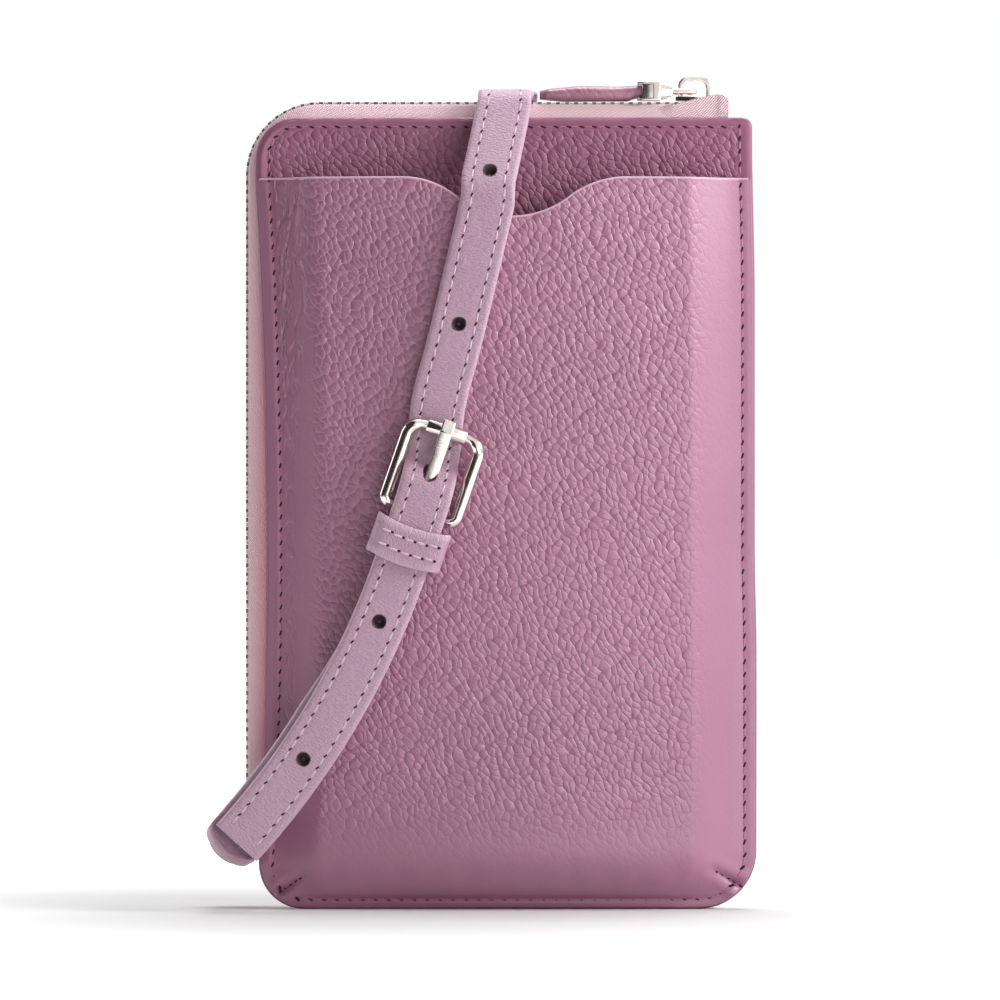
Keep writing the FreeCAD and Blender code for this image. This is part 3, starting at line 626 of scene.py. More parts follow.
def pellets(places, ways, outs, length, width, height, sides=6, rings=5):
    """Many small rounded pellets in one mesh: places, long directions and outward directions."""
    places, ways, outs = (np.asarray(a, float) for a in (places, ways, outs))
    ways = ways / np.linalg.norm(ways, axis=1, keepdims=True)
    outs = outs - ways * (outs * ways).sum(1, keepdims=True)
    outs = outs / np.linalg.norm(outs, axis=1, keepdims=True)
    sides_way = np.cross(ways, outs)
    angle = np.linspace(0, 2 * math.pi, sides, endpoint=False)
    steps = np.linspace(-1, 1, rings + 2)[1:-1]
    swell = np.sqrt(1 - steps ** 4)
    local = [(-1.0, 0.0, 0.0)]
    for step, big in zip(steps, swell):
        local += [(step, big * math.cos(a), big * math.sin(a)) for a in angle]
    local.append((1.0, 0.0, 0.0))
    local = np.array(local) * (length / 2, width / 2, height / 2)
    count = len(local)
    points = (places[:, None, :] + local[None, :, 0:1] * ways[:, None, :]
              + local[None, :, 1:2] * sides_way[:, None, :] + local[None, :, 2:3] * outs[:, None, :])
    faces = []
    for side in range(sides):
        following = (side + 1) % sides
        faces.append((0, 1 + following, 1 + side))
        for ring in range(rings - 1):
            base = 1 + ring * sides
            faces.append((base + side, base + following,
                          base + sides + following, base + sides + side))
        last = 1 + (rings - 1) * sides
        faces.append((last + side, last + following, count - 1))
    every = [tuple(i + number * count for i in face)
             for number in range(len(places)) for face in faces]
    return points.reshape(-1, 3), every


def even_places(path, pitch):
    """Places about a pitch apart along a path of points, with their directions."""
    path = np.asarray(path, float)
    lengths = np.concatenate([[0], np.cumsum(np.linalg.norm(np.diff(path, axis=0), axis=1))])
    count = max(int(lengths[-1] / pitch), 1)
    stops = (np.arange(count) + 0.5) * lengths[-1] / count
    reach = 0.2

    def along(distances):
        return np.stack([np.interp(distances, lengths, path[:, i]) for i in range(3)], 1)
    return along(stops), along(stops + reach) - along(stops - reach)


on_pocket = seam[:, 1] < pocket_top
thread_sink = 0.16
panel_seam_y = front_outside + thread_sink * plumpness(seam[:, 0])
seam_y = np.where(on_pocket, pocket_front(seam[:, 0], seam[:, 1]), panel_seam_y)
seam_line = np.stack([seam[:, 0], seam_y, seam[:, 1]], 1)
stitch_pitch = 2.95
places, ways = even_places(seam_line, stitch_pitch)
outs = np.tile([0.0, -1.0, 0.0], (len(places), 1))
plum_thread = thread_stuff("plum_thread", (0.56, 0.22, 0.31, 1), (0.34, 0.11, 0.175, 1))
painted_shade_slits = painted_needle_hole_shade()
points, faces = pellets(places, ways, outs, 1.9, 0.42, 0.36)
seam_thread = new_piece("seam_thread_front", points, faces, plum_thread)
fit(seam_thread, "pouch", "pebbled_leather")
ways = ways / np.linalg.norm(ways, axis=1, keepdims=True)
# The slits are dark pellets: painted shade in the needle holes.
slits = places + ways * stitch_pitch / 2 + (0, 0.05, 0)
points, faces = pellets(slits, ways - 0.42 * np.cross(outs, ways), outs, 1.6, 0.62, 0.34)
seam_slits = new_piece("seam_slits_front", points, faces, painted_shade_slits)
fit(seam_slits, "pouch", "pebbled_leather")

dart_places, dart_ways = [], []
for (ax, az), (bx, bz) in darts:
    for share in (0.12, 0.34, 0.56, 0.78, 0.96):
        dart_x, dart_z = ax + (bx - ax) * share, az + (bz - az) * share
        dart_places.append((dart_x, float(pocket_front(dart_x, dart_z)), dart_z))
        dart_ways.append((bx - ax, 0.0, bz - az))
dart_outs = np.tile([0.0, -1.0, 0.0], (len(dart_places), 1))
# Dark pellets along the darts: painted shade in their stitch holes.
points, faces = pellets(dart_places, dart_ways, dart_outs, 1.3, 0.5, 0.4)
fit(new_piece("dart_slits", points, faces, painted_shade_slits), "pouch", "pebbled_leather")

back_seam_y = back_outer(seam[:, 0], seam[:, 1]) - thread_sink
back_line = np.stack([seam[:, 0], back_seam_y, seam[:, 1]], 1)
places, ways = even_places(back_line, stitch_pitch)
outs = np.tile([0.0, 1.0, 0.0], (len(places), 1))
points, faces = pellets(places + (0, 0.02, 0), ways, outs, 1.75, 0.5, 0.42)
back_thread = new_piece("seam_thread_back", points, faces, plum_thread)
fit(back_thread, "pouch", "pebbled_leather")

# ZIP TAPES
# Two ribbed cloth tapes sewn inside the panels' edges along the top and down the left side.
# Each folds up from its sewn leg to a shelf that carries one row of teeth. The front tape's
# end stands up beside the slider.

chain_height = 3.2
tape = 0.6
zip_start = 49.75
zip_low_end = 15.0
zip_middle = 5.15
leg_cut_x = 43.0
corner_radius = 13.0


def ribbed_tape(name, colour, dark):
    """Herringbone tape: ribs slant one way across each half of the cloth."""
    material, shader, place = new_material(name, Roughness=0.9, Specular_IOR_Level=0.08)
    run = attribute(place, "run")
    across = attribute(place, "across")
    # A value from the mesh darkens the tape towards the panel's edge down the left side: painted shade.
    tuck = attribute(place, "tuck")
    rib = run.math("SINE", (run + across * 0.9) * (2 * math.pi / 0.62))
    yarn = run.math("SINE", (run * 0.35 - across) * (2 * math.pi / 0.42))
    spot = place.in_mm()
    fuzz = spot.noise(2.5, 4.0)
    relief(rib * 0.5 + yarn * 0.22 + fuzz * 0.35, shader, 0.15)
    feed((rib * 0.34 + fuzz * 0.5 + 0.3 - tuck * 0.7).between(dark, colour), shader, "Base Color")
    return material


def chain_stations(step):
    """Stations on the panel's edge along the zip: edge point, outward direction and distance."""
    corner = np.array([-panel_half_width + corner_radius, panel_height - corner_radius])
    top_run = zip_start - corner[0]
    rows = []
    for distance in np.linspace(0, top_run, int(top_run / step) + 1):
        rows.append((zip_start - distance, panel_height, 0.0, 1.0, distance))
    for angle in np.linspace(0, math.pi / 2, 16)[1:]:
        out = np.array([-math.sin(angle), math.cos(angle)])
        edge = corner + corner_radius * out
        distance = top_run + angle * (corner_radius + chain_height)
        rows.append((edge[0], edge[1], out[0], out[1], distance))
    base = rows[-1][4]
    side_run = corner[1] - zip_low_end
    for drop in np.linspace(0, side_run, int(side_run / step) + 1)[1:]:
        rows.append((-panel_half_width, corner[1] - drop, -1.0, 0.0, base + drop))
    return np.array(rows)


def tape_piece(name, side, material):
    """One tape as a folded strip along the zip."""
    inside = 4.5
    leg_end = -5.9
    shelf_top, shelf_low, shelf_edge = chain_height + tape / 2, chain_height - tape / 2, 1.12
    section = np.array([
        (leg_end, inside), (-3.0, inside), (-0.6, inside), (0.4, inside - 0.15),
        (1.6, inside - 0.85), (2.5, inside - 1.5), (3.0, 2.75), (shelf_top, 2.2),
        (shelf_top, shelf_edge), (shelf_low, shelf_edge), (shelf_low, 2.1), (2.5, 2.35),
        (1.9, inside - 1.75), (1.1, inside - 1.25), (0.2, inside - 0.72), (-0.8, inside - tape),
        (-3.0, inside - tape), (leg_end, inside - tape)])
    stations = chain_stations(1.5)
    across = np.concatenate([[0], np.cumsum(np.hypot(*np.diff(section, axis=0).T))])
    points, run, over, tuck = [], [], [], []
    for x, z, out_x, out_z, distance in stations:
        for (u, y), width in zip(section, across):
            leg = u
            if u < 0 and x > leg_cut_x and out_z > 0.99:
                leg = max(u, -0.2)
            points.append((x + out_x * leg, zip_middle + side * y, z + out_z * leg))
            run.append(distance)
            over.append(width)
            # Painted shade: along the side run the tape darkens towards its sewn leg.
            tuck.append(abs(out_x) * (1 - ramp(u, 0.0, 2.8)))
    faces = ring_faces(len(stations), len(section))
    piece = new_piece(name, points, faces, material, run=run, across=over, tuck=tuck)
    outward_faces(piece)
    return piece


# The dark colour serves both the ribs' tone and the painted shade by the seam.
tape_cloth = ribbed_tape("mauve_tape", (0.95, 0.83, 0.88, 1), (0.88, 0.43, 0.53, 1))
fit(tape_piece("zip_tape_front_cloth", -1, tape_cloth), "pouch", "zip_cloth", "zip_tape_front")
fit(tape_piece("zip_tape_back_cloth", 1, tape_cloth), "pouch", "zip_cloth", "zip_tape_back")

rows, columns = 10, 40
flap_start, flap_end, flap_foot = 33.5, 50.2, 181.3
flap_x = np.linspace(flap_start, flap_end, columns)
flap_top = 184.3 + 2.7 * ramp(flap_x, 34.0, 48.5) - 0.9 * ramp(flap_x, 48.6, flap_end)
x = np.repeat(flap_x[None, :], rows, 0)
z = flap_foot + (flap_top - flap_foot)[None, :] * np.linspace(0, 1, rows)[:, None]
stand = ramp(x, flap_start, 38.0)
shelf_slope = np.interp(z, (181.9, 183.1, 184.5, 185.0), (0.0, 0.7, 1.6, 2.15))
lean = (1 - stand) * (0.95 + shelf_slope)
y = lean + stand * (0.75 + 0.06 * (z - flap_foot))
fold = 0.35 * ramp(x, 47.8, 48.3) * ramp(z, 181.9, 182.6)
flap = sheet_piece("zip_tape_front_end", np.stack([x, y - fold, z], -1),
                   np.stack([x, y + 0.5, z], -1), tape_cloth, rings=((0.3, 0.12), (0.7, 0.12)),
                   run=zip_start - x, across=z - flap_foot)
fit(flap, "pouch", "zip_cloth")

# ZIP TEETH AND STOPS
# Stamped metal teeth clamped on the tapes' edges, and the crimped stops at the chain's ends.
# The CAD solids stay: the front row and the stops take a darkened copy of the nickel, painted shade,
# and the back row is bright.


def polished_metal(name, colour, dark, roughness):
    """Plated metal with faint handling marks."""
    material, shader, place = new_material(name, Metallic=1.0)
    spot = place.in_mm()
    marks = spot.noise(0.35, 5.0)
    hair = spot.scaled((0.2, 0.2, 3.0)).noise(2.0, 2.0)
    feed(marks.smooth(0.3, 0.7).between(dark, colour), shader, "Base Color")
    feed(roughness + marks * 0.09, shader, "Roughness")
    relief(hair * 0.3 + marks * 0.5, shader, 0.02)
    return material


def finish_node(node, material):
    """Give a CAD solid its material."""
    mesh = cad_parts[node].data
    mesh.materials.clear()
    mesh.materials.append(material)


# A dark copy of the nickel for the front row and the stops: painted shade.
painted_shade_tooth_nickel = polished_metal("painted_shade_tooth_nickel", (0.22, 0.19, 0.19, 1), (0.09, 0.08, 0.08, 1), 0.26)
bright_nickel = polished_metal("bright_tooth_nickel", (0.82, 0.76, 0.74, 1), (0.66, 0.60, 0.58, 1), 0.3)
for node, metal in (("zip_teeth_front", painted_shade_tooth_nickel), ("zip_teeth_back", bright_nickel),
                    ("zip_top_stops", painted_shade_tooth_nickel), ("zip_bottom_stop", painted_shade_tooth_nickel)):
    finish_node(node, metal)

# ZIP SLIDER AND PULL
# A die-cast slider with a bridge, a wire link through it, and a folded clip with two cheeks
# that clamps the leather tab. All metal is plated in pale, warm nickel.


def beveled_piece(work, name, material, edges, bevel, crease):
    """A piece from a working mesh, with the given edges rounded off."""
    bmesh.ops.bevel(work, geom=edges, offset=bevel * MM, segments=3, profile=0.5,
                    affect="EDGES", clamp_overlap=True)
    mesh = bpy.data.meshes.new(name)
    work.to_mesh(mesh)
    work.free()
    return smooth_piece(name, mesh, material, crease)


def softened(node, name, material, bevel):
    """A CAD solid's shape with its edges broken, as cast or pressed metal has them."""
    work = bmesh.new()
    work.from_mesh(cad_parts[node].data)
    bmesh.ops.remove_doubles(work, verts=work.verts, dist=1e-6)
    bmesh.ops.dissolve_limit(work, angle_limit=math.radians(1.0), verts=work.verts,
                             edges=work.edges)
    sharp = [edge for edge in work.edges
             if len(edge.link_faces) == 2 and edge.calc_face_angle(0) > math.radians(28)]
    return beveled_piece(work, name, material, sharp, bevel, 32)


pale_nickel = polished_metal("pale_nickel", (0.80, 0.74, 0.70, 1), (0.68, 0.61, 0.57, 1), 0.10)
fit(softened("zip_slider", "zip_slider_cast", pale_nickel, 0.22), "zip_slider", "nickel", "zip_slider")
fit(softened("pull_clip", "pull_clip_pressed", pale_nickel, 0.16), "pull_tab", "nickel", "pull_clip")

pivot_x, pivot_z, clip_pin_x = 42.65, 187.95, 36.65
link_half, link_corner = 2.4, 1.2
link_path = []
for cx, cy, start in ((pivot_x - link_corner, 1, 0), (clip_pin_x + link_corner, 1, 90),
                      (clip_pin_x + link_corner, -1, 180), (pivot_x - link_corner, -1, 270)):
    for angle in np.linspace(start, start + 90, 8):
        a = math.radians(angle)
        link_y = zip_middle + cy * (link_half - link_corner) + link_corner * math.sin(a)
        link_path.append((cx + link_corner * math.cos(a), link_y, pivot_z))
points, faces = tube(link_path, 0.65, 14, closed=True)
link_wire = new_piece("pull_link_wire", points, faces, pale_nickel)
fit(link_wire, "pull_link", "nickel", "pull_link")


def strap_leather(name, colour, pale, dark):
    """Smooth calf leather with a fine grain across the strap."""
    material, shader, place = new_material(name, IOR=1.8, Specular_IOR_Level=0.65)
    run = attribute(place, "run")
    across = attribute(place, "across")
    spot = run.node("CombineXYZ", X=run * 2.4, Y=across * 0.75, Z=0.0)
    creases = spot.noise(1.0, 4.0, Roughness=0.6)
    cells = spot.node("TexVoronoi", {"feature": "DISTANCE_TO_EDGE"}, Vector=spot, Scale=1.3)
    wide = place.in_mm()
    cloud = wide.noise(0.06, 3.0)
    grain = creases.smooth(0.35, 0.65) * 0.7 + cells.smooth(0.0, 0.25) * 0.4
    relief(grain, shader, 0.11)
    tone = grain * 0.45 + cloud * 0.7 - 0.1
    tint = tone.between(dark, colour)
    # Towards the side edges the colour turns pale: edge paint, made lighter as a painted highlight
    # where the rounded edges catch the light.
    fold = attribute(place, "edge")
    # The hole walls are coloured almost black: painted shade inside the holes.
    punched = attribute(place, "punched").smooth(0.82, 0.98)
    edged = (fold * 0.6).between(tint, pale)
    feed(punched.between(edged, (0.045, 0.014, 0.026, 1)), shader, "Base Color")
    feed(0.40 + creases * 0.14, shader, "Roughness")
    return material


lilac = (0.505, 0.295, 0.402, 1)
lilac_edge_paint_highlight = (0.68, 0.46, 0.57, 1)
lilac_dark = (0.37, 0.20, 0.288, 1)
lilac_leather = strap_leather("lilac_strap_leather", lilac, lilac_edge_paint_highlight, lilac_dark)

tab_tip, tab_end = 6.97, 33.0
rows, sides = 46, 28
points = []
for share in np.linspace(0, 1, rows):
    px = tab_tip + (tab_end - tab_tip) * share
    wide = 3.8 - 0.75 * ramp(share, 0.45, 0.85)
    wide *= 1 - 0.35 * (1 - ramp(share, 0.0, 0.06))
    top = np.interp(share, (0, 0.08, 0.35, 0.7, 0.86, 1), (188.1, 188.6, 189.3, 189.1, 189.4, 189.4))
    low = np.interp(share, (0, 0.2, 0.78, 0.85, 1), (186.2, 185.7, 185.75, 186.4, 186.4))
    for turn in np.linspace(0, 2 * math.pi, sides, endpoint=False):
        c, s = math.cos(turn), math.sin(turn)
        points.append((px, zip_middle + wide * math.copysign(abs(c) ** 0.6, c),
                       (top + low) / 2 + (top - low) / 2 * math.copysign(abs(s) ** 0.8, s)))
tab_leather = pebbled_leather("mauve_tab_leather", (0.40, 0.175, 0.25, 1), (0.21, 0.075, 0.12, 1))
pull_tab = new_piece("pull_tab_leather", points, ring_faces(rows, sides), tab_leather,
                     grain=np.full(len(points), 0.4))
outward_faces(pull_tab)
fit(pull_tab, "pull_tab", "strap_leather", "pull_tab")

cheek_outline = [(30.6, 186.1), (34.2, 186.0), (36.6, 186.7), (37.6, 187.5),
                 (37.6, 188.4), (36.6, 189.2), (34.2, 189.9), (30.6, 189.8)]
cheek_inside, cheek_thickness = 3.35, 0.6
cheeks = bmesh.new()
for side in (-1, 1):
    cheek_y = zip_middle + side * cheek_inside
    corners = [cheeks.verts.new((px * MM, cheek_y * MM, pz * MM)) for px, pz in cheek_outline]
    lid = bmesh.ops.extrude_face_region(cheeks, geom=[cheeks.faces.new(corners)])
    moved_corners = [v for v in lid["geom"] if isinstance(v, bmesh.types.BMVert)]
    bmesh.ops.translate(cheeks, verts=moved_corners, vec=(0, side * cheek_thickness * MM, 0))
bmesh.ops.recalc_face_normals(cheeks, faces=cheeks.faces)
clip_cheeks = beveled_piece(cheeks, "pull_clip_cheeks", pale_nickel, cheeks.edges[:], 0.18, 180)
fit(clip_cheeks, "pull_tab", "nickel")

# STRAPS
# Two layers of smooth lilac leather, glued and stitched along both edges. The long strap is
# punched; its end is tucked in a hank behind the pouch, and both ends are riveted to the back.

strap_half = 6.25
strap_deep = 1.2
strap_pitch, stitch_row = 3.2, 3.75
hole_field, hole_margin = 2.6, 1.0


def moved(place, travel, facing, move, share=1.0):
    """Place, travel and facing after a share of a move: run, bend, fold or turn."""
    kind, size, angle = move
    if kind == "run":
        return place + travel * (size * share), travel, facing
    side = travel.cross(facing)
    sense = math.copysign(1, angle)
    if kind == "turn":
        pivot, axis = place + side * (size * sense), facing * -sense
    else:
        pivot = place + facing * (size * sense)
        axis = (Vector((1, 0, 0)) if kind == "fold" else side) * sense
    spin = Matrix.Rotation(math.radians(abs(angle) * share), 3, axis)
    return pivot + spin @ (place - pivot), spin @ travel, spin @ facing


def move_length(move):
    """Length of a move along the strap's middle."""
    return move[1] if move[0] == "run" else move[1] * math.radians(abs(move[2]))


class Route:
    """A strap's way: a start and a list of moves."""

    def __init__(self, place, travel, facing, moves):
        self.start = (Vector(place), Vector(travel), Vector(facing))
        self.moves = moves
        self.length = sum(move_length(move) for move in moves)

    def at(self, distance):
        """Place, travel and facing at a distance from the start."""
        state = self.start
        for move in self.moves[:-1]:
            length = move_length(move)
            if distance <= length:
                return moved(*state, move, distance / length)
            distance -= length
            state = moved(*state, move)
        return moved(*state, self.moves[-1], min(distance / move_length(self.moves[-1]), 1.0))

    def stations(self, straight, curved):
        """Distances along the route, closer together in bends."""
        stops, base = [0.0], 0.0
        for move in self.moves:
            length = move_length(move)
            step = straight if move[0] == "run" else curved if move[1] < 50 else 2 * curved
            count = max(int(length / step), 2)
            stops += [base + length * (i + 1) / count for i in range(count)]
            base += length
        return stops


class Strip:
    """A strap in its own measure: distance along it, across it and out of its face."""

    def __init__(self, down, up, sway, fold=None):
        self.fold = fold
        self.down = down
        self.up = up
        self.sway = np.array(sway)
        self.before = down.length if down else 0.0
        self.length = self.before + up.length

    def at(self, distance):
        if distance < self.before:
            place, travel, facing = self.down.at(self.before - distance)
            travel = -travel
        else:
            place, travel, facing = self.up.at(distance - self.before)
        aside = float(np.interp(distance, self.sway[:, 0], self.sway[:, 1]))
        return place + travel.cross(facing) * aside, travel, facing

    def point(self, distance, across, out):
        place, travel, facing = self.at(distance)
        return place + travel.cross(facing) * across + facing * out

    def nose(self, distance, across):
        """How a fold's corners draw back, so that its outline is round, and how its lip stands up."""
        if self.fold is None:
            return Vector((0, 0, 0))
        fold = self.fold
        faded = fold["reach"] + fold["fade"]
        near = 1 - ramp(abs(distance - fold["middle"]), fold["reach"], faded)
        lip = fold["lift"] * bell(distance - fold["lip"], fold["lip_width"])
        drawn = float(near * fold["draw"] * (across / strap_half) ** 2)
        return Vector(fold["way"]) * drawn + Vector((0, -lip, 0))

    def stations(self, straight, curved):
        above = [self.before + stop for stop in self.up.stations(straight, curved)]
        if self.down is None:
            return above
        below = [self.before - stop for stop in reversed(self.down.stations(straight, curved))]
        return below + above[1:]


half_stops = (0.87, 1.73, hole_field, 3.2, stitch_row, 4.5, 5.2, 5.75)
across_stops = tuple(-stop for stop in reversed(half_stops)) + (0.0,) + half_stops


def crown(across):
    """How far the strap's face stands from its middle: soft edges and a dip at each stitch row."""
    away = abs(across)
    dip = 0.12 * bell(away - stitch_row, 0.5)
    return strap_deep - dip - 0.10 * max(away - 4.6, 0)


def strap_mesh(name, strip, holes, material, straight=2.4, curved=0.7):
    """Strap with rounded edges and holes.

    A hole is (distance, half length, half width, share left at the back)."""
    stops = strip.stations(straight, curved)
    for distance, half_length in (hole[:2] for hole in holes):
        reach = half_length + hole_margin
        stops = [s for s in stops if abs(s - distance) > reach + 0.4]
        stops += [distance + reach * i / 4 for i in range(-4, 5)]
    stops = sorted(stops)
    face_columns = len(across_stops)
    edge = [(6.1, 0.75), (strap_half, 0.25), (strap_half, -0.25), (6.1, -0.75)]
    section = [(a, crown(a)) for a in across_stops] + edge
    section += [(a, -crown(a)) for a in reversed(across_stops)] + [(-a, -o) for a, o in edge]
    count = len(section)
    points, run, across, rim, hole_shade = [], [], [], [], []

    def add(distance, a, o, wall=0.0):
        points.append(tuple(strip.point(distance, a, o) + strip.nose(distance, a)))
        run.append(distance)
        across.append(a)
        rim.append(float(ramp(abs(a), 5.6, 6.2)))
        hole_shade.append(wall)
        return len(points) - 1

    for stop in stops:
        for a, o in section:
            add(stop, a, o)
    first, last = across_stops.index(-hole_field), across_stops.index(hole_field)
    skipped, faces = set(), []
    for distance, half_length, half_width, narrow in holes:
        reach = half_length + hole_margin
        inside = [i for i, s in enumerate(stops) if abs(s - distance) < reach + 1e-6]
        low, high = inside[0], inside[-1]
        skipped.update(range(low, high))
        rings = []
        for top in (True, False):
            def number(row, column):
                return row * count + (column if top else 2 * face_columns + len(edge) - 1 - column)
            border = [(low, c) for c in range(first, last)] + [(r, last) for r in range(low, high)]
            border += [(high, c) for c in range(last, first, -1)]
            border += [(r, first) for r in range(high, low, -1)]
            outer = [number(r, c) for r, c in border]
            inner = []
            for r, c in border:
                a = across_stops[c] / hole_field
                d = (stops[r] - distance) / reach
                away = math.hypot(a, d) / (1.0 if top else narrow)
                level = strap_deep if top else -strap_deep
                # Points on a hole's wall carry the painted shade.
                inner.append(add(distance + half_length * d / away, half_width * a / away, level, 1.0))
            rings.append(inner)
            for i in range(len(outer)):
                j = (i + 1) % len(outer)
                quad = (outer[i], outer[j], inner[j], inner[i])
                faces.append(quad if top else quad[::-1])
        for i in range(len(rings[0])):
            j = (i + 1) % len(rings[0])
            faces.append((rings[0][i], rings[0][j], rings[1][j], rings[1][i]))
    for row in range(len(stops) - 1):
        for column in range(count):
            mirrored = 2 * face_columns + len(edge) - 2 - column
            if row in skipped and (first <= column < last or first <= mirrored < last):
                continue
            nearby = (column + 1) % count
            faces.append((row * count + column, row * count + nearby,
                          (row + 1) * count + nearby, (row + 1) * count + column))
    faces.append(tuple(range(count)))
    faces.append(tuple(range((len(stops) - 1) * count, len(stops) * count)))
    piece = new_piece(name, points, faces, material, run=run, across=across, edge=rim, punched=hole_shade)
    outward_faces(piece)
    return piece


strap_lean = math.radians(19.0)
up_way = (math.sin(strap_lean), 0.0, math.cos(strap_lean))
down_way = (-up_way[0], 0.0, -up_way[2])
outward = (0.0, -1.0, 0.0)
heel_x, heel_z = -20.6003, 91.1062
upper_layer, lower_layer = -17.45, -13.45
tail = Route((heel_x, upper_layer, heel_z), down_way, outward,
             [("run", 14.0, 0), ("turn", 177.017, 23.0), ("run", 1.7, 0)])
rise = Route((heel_x, upper_layer, heel_z), up_way, outward, [
    ("run", 5.405, 0), ("bend", 4.0, -50.0), ("run", 3.188, 0), ("bend", 4.0, 50.0),
    ("turn", 60.0, -8.5), ("run", 50.342, 0), ("fold", 12.0, -26.0), ("run", 19.853, 0),
    ("fold", 4.0, -64.0), ("run", 8.0, 0), ("fold", 4.0, -72.0), ("run", 47.669, 0),
    ("fold", 20.0, -18.0), ("turn", 60.0, -10.5), ("run", 119.245, 0), ("bend", 2.2, -180),
    ("run", 107.245, 0), ("bend", 2.2, 180), ("run", 107.245, 0), ("bend", 2.2, -180),
    ("turn", 120.0, -14.0), ("run", 101.965, 0), ("bend", 40.0, 14.928),
    ("bend", 40.0, -14.928), ("run", 16.0, 0),
])
long_sway = [(90.0, 0.0), (95.0, -0.4), (99.0, -0.8), (105.0, -1.9), (109.0, -2.6), (114.0, -2.9),
             (119.0, -2.7), (125.0, -2.1), (132.7, -1.6), (147.5, -0.9), (159.0, -0.35),
             (169.0, 0.0)]
long_strip = Strip(tail, rise, long_sway)
underneath = Route((heel_x, lower_layer, heel_z), down_way, outward, [
    ("run", 14.0, 0), ("turn", 177.017, 23.0), ("run", 1.1, 0), ("bend", 5.0, -90),
    ("run", 15.9, 0), ("bend", 5.0, -90), ("run", 52.0, 0), ("turn", 160.0, 11.993),
    ("run", 98.823, 0),
])
short_sway = [(14.0, 0.0), (24.0, 0.1), (36.0, 0.1), (52.0, 1.3), (84.0, 1.3), (120.0, 0.0)]
short_fold = {"middle": 101.5, "reach": 16.0, "fade": 12.0, "draw": 2.4, "way": (0.67, 0.0, 0.74),
              "lip": 89.9, "lip_width": 1.7, "lift": 4.2}
short_strip = Strip(None, underneath, short_sway, short_fold)
punch = 1.6
taper = 0.22
slot_length, slot_width = 2.3, 1.75
long_holes = [(24.4, punch, punch, taper), (60.2, punch, punch, taper),
              (95.9, slot_length, slot_width, 1.0),
              (132.7, punch, punch, taper), (168.5, punch, punch, taper)]
long_strap = strap_mesh("strap_long_leather", long_strip, long_holes, lilac_leather)
fit(long_strap, "pouch", "strap_leather", "strap_long")
short_strap = strap_mesh("strap_short_leather", short_strip, [], lilac_leather, curved=0.45)
fit(short_strap, "pouch", "strap_leather", "strap_short")


def strap_rows(strip, first, last, face, bare=(0.0, 0.0)):
    """Places, ways and outs of the two stitch rows on one face of a strap."""
    places, ways, outs = [], [], []
    for number in range(int((last - first) / strap_pitch)):
        distance = first + (number + 0.5) * strap_pitch
        if bare[0] < distance < bare[1]:
            continue
        place, travel, facing = strip.at(distance)
        for across in (-stitch_row, stitch_row):
            spot = place + travel.cross(facing) * across + facing * (face * (crown(across) - 0.02))
            spot += strip.nose(distance, across)
            places.append(tuple(spot))
            ways.append(tuple(travel))
            outs.append(tuple(facing * face))
    return np.array(places), np.array(ways), np.array(outs)


lilac_thread = thread_stuff("lilac_thread", (0.80, 0.64, 0.73, 1), (0.62, 0.45, 0.55, 1))
strap_stitches = ((long_strip, "long", 2.2, (0.0, 0.0)), (short_strip, "short", 6.0, (82.0, 122.0)))
for strip, label, first, bare in strap_stitches:
    last = strip.length - 2
    for face, side in ((1, "front"), (-1, "rear")):
        places, ways, outs = strap_rows(strip, first, last, face, bare)
        points, faces = pellets(places, ways, outs, 2.2, 0.5, 0.46, 5, 4)
        thread = new_piece(f"strap_{label}_thread_{side}", points, faces, lilac_thread)
        fit(thread, "pouch", "strap_leather")
        places, ways, outs = strap_rows(strip, first + strap_pitch / 2, last, face, bare)
        slant = ways + 0.5 * np.cross(ways, outs) * face
        # Dark pellets in the strap's needle holes: painted shade.
        points, faces = pellets(places - outs * 0.02, slant, outs, 1.35, 0.58, 0.28, 6, 3)
        needle_holes = new_piece(f"strap_{label}_needle_holes_{side}", points, faces, painted_shade_slits)
        fit(needle_holes, "pouch", "strap_leather")

# STRAP RIVETS
# A domed rivet goes through each strap end, the back panel and its lining. Inside the
# compartment its shank is set on a washer.

rivet_places = ((-25.1254, 159.1255), (38.1492, 160.5723))
shank_radius, shank_end = 1.4, 8.35
dome_radius, dome_height = 3.4, 1.15
dome_foot, dome_start = 13.66, 13.8


def turned(profile, centre, sides=40):
    """A body of revolution about a line along Y: profile of (radius, depth) pairs."""
    points = []
    for radius, depth in profile:
        for turn in np.linspace(0, 2 * math.pi, sides, endpoint=False):
            points.append((centre[0] + radius * math.cos(turn), depth,
                           centre[1] + radius * math.sin(turn)))
    return points, ring_faces(len(profile), sides)


every_point, every_face = [], []
for centre in rivet_places:
    dome = [(shank_radius, shank_end), (shank_radius, dome_foot),
            (dome_radius - 0.1, dome_foot), (dome_radius, dome_start)]
    dome += [(dome_radius * math.cos(a), dome_start + dome_height * math.sin(a))
             for a in np.linspace(0.2, 1.5, 8)]
    points, faces = turned(dome, centre)
    every_face += [tuple(i + len(every_point) for i in face) for face in faces]
    every_point += points
rivets = new_piece("strap_rivets_turned", every_point, every_face, pale_nickel)
outward_faces(rivets)
fit(rivets, "pouch", "nickel", "strap_rivets")
finish_node("rivet_washers", pale_nickel)

# BUCKLE
# A cast frame whose lower bar carries the short strap and the prong. A split tube rolls on its
# upper bar. Everything is polished and plated in pale nickel.

heel = Vector((heel_x, lower_layer, heel_z))
buckle_tilt = math.radians(5.472)
buckle_height, frame_half = 19.4, 8.5
buckle_place = (Matrix.Translation(heel) @ Matrix.Rotation(strap_lean, 4, "Y")
                @ Matrix.Rotation(buckle_tilt, 4, "X"))


def in_buckle(points):
    """Buckle points, drawn upright on its heel bar, in their place on the strap."""
    return [tuple(buckle_place @ Vector(tuple(p))) for p in points]


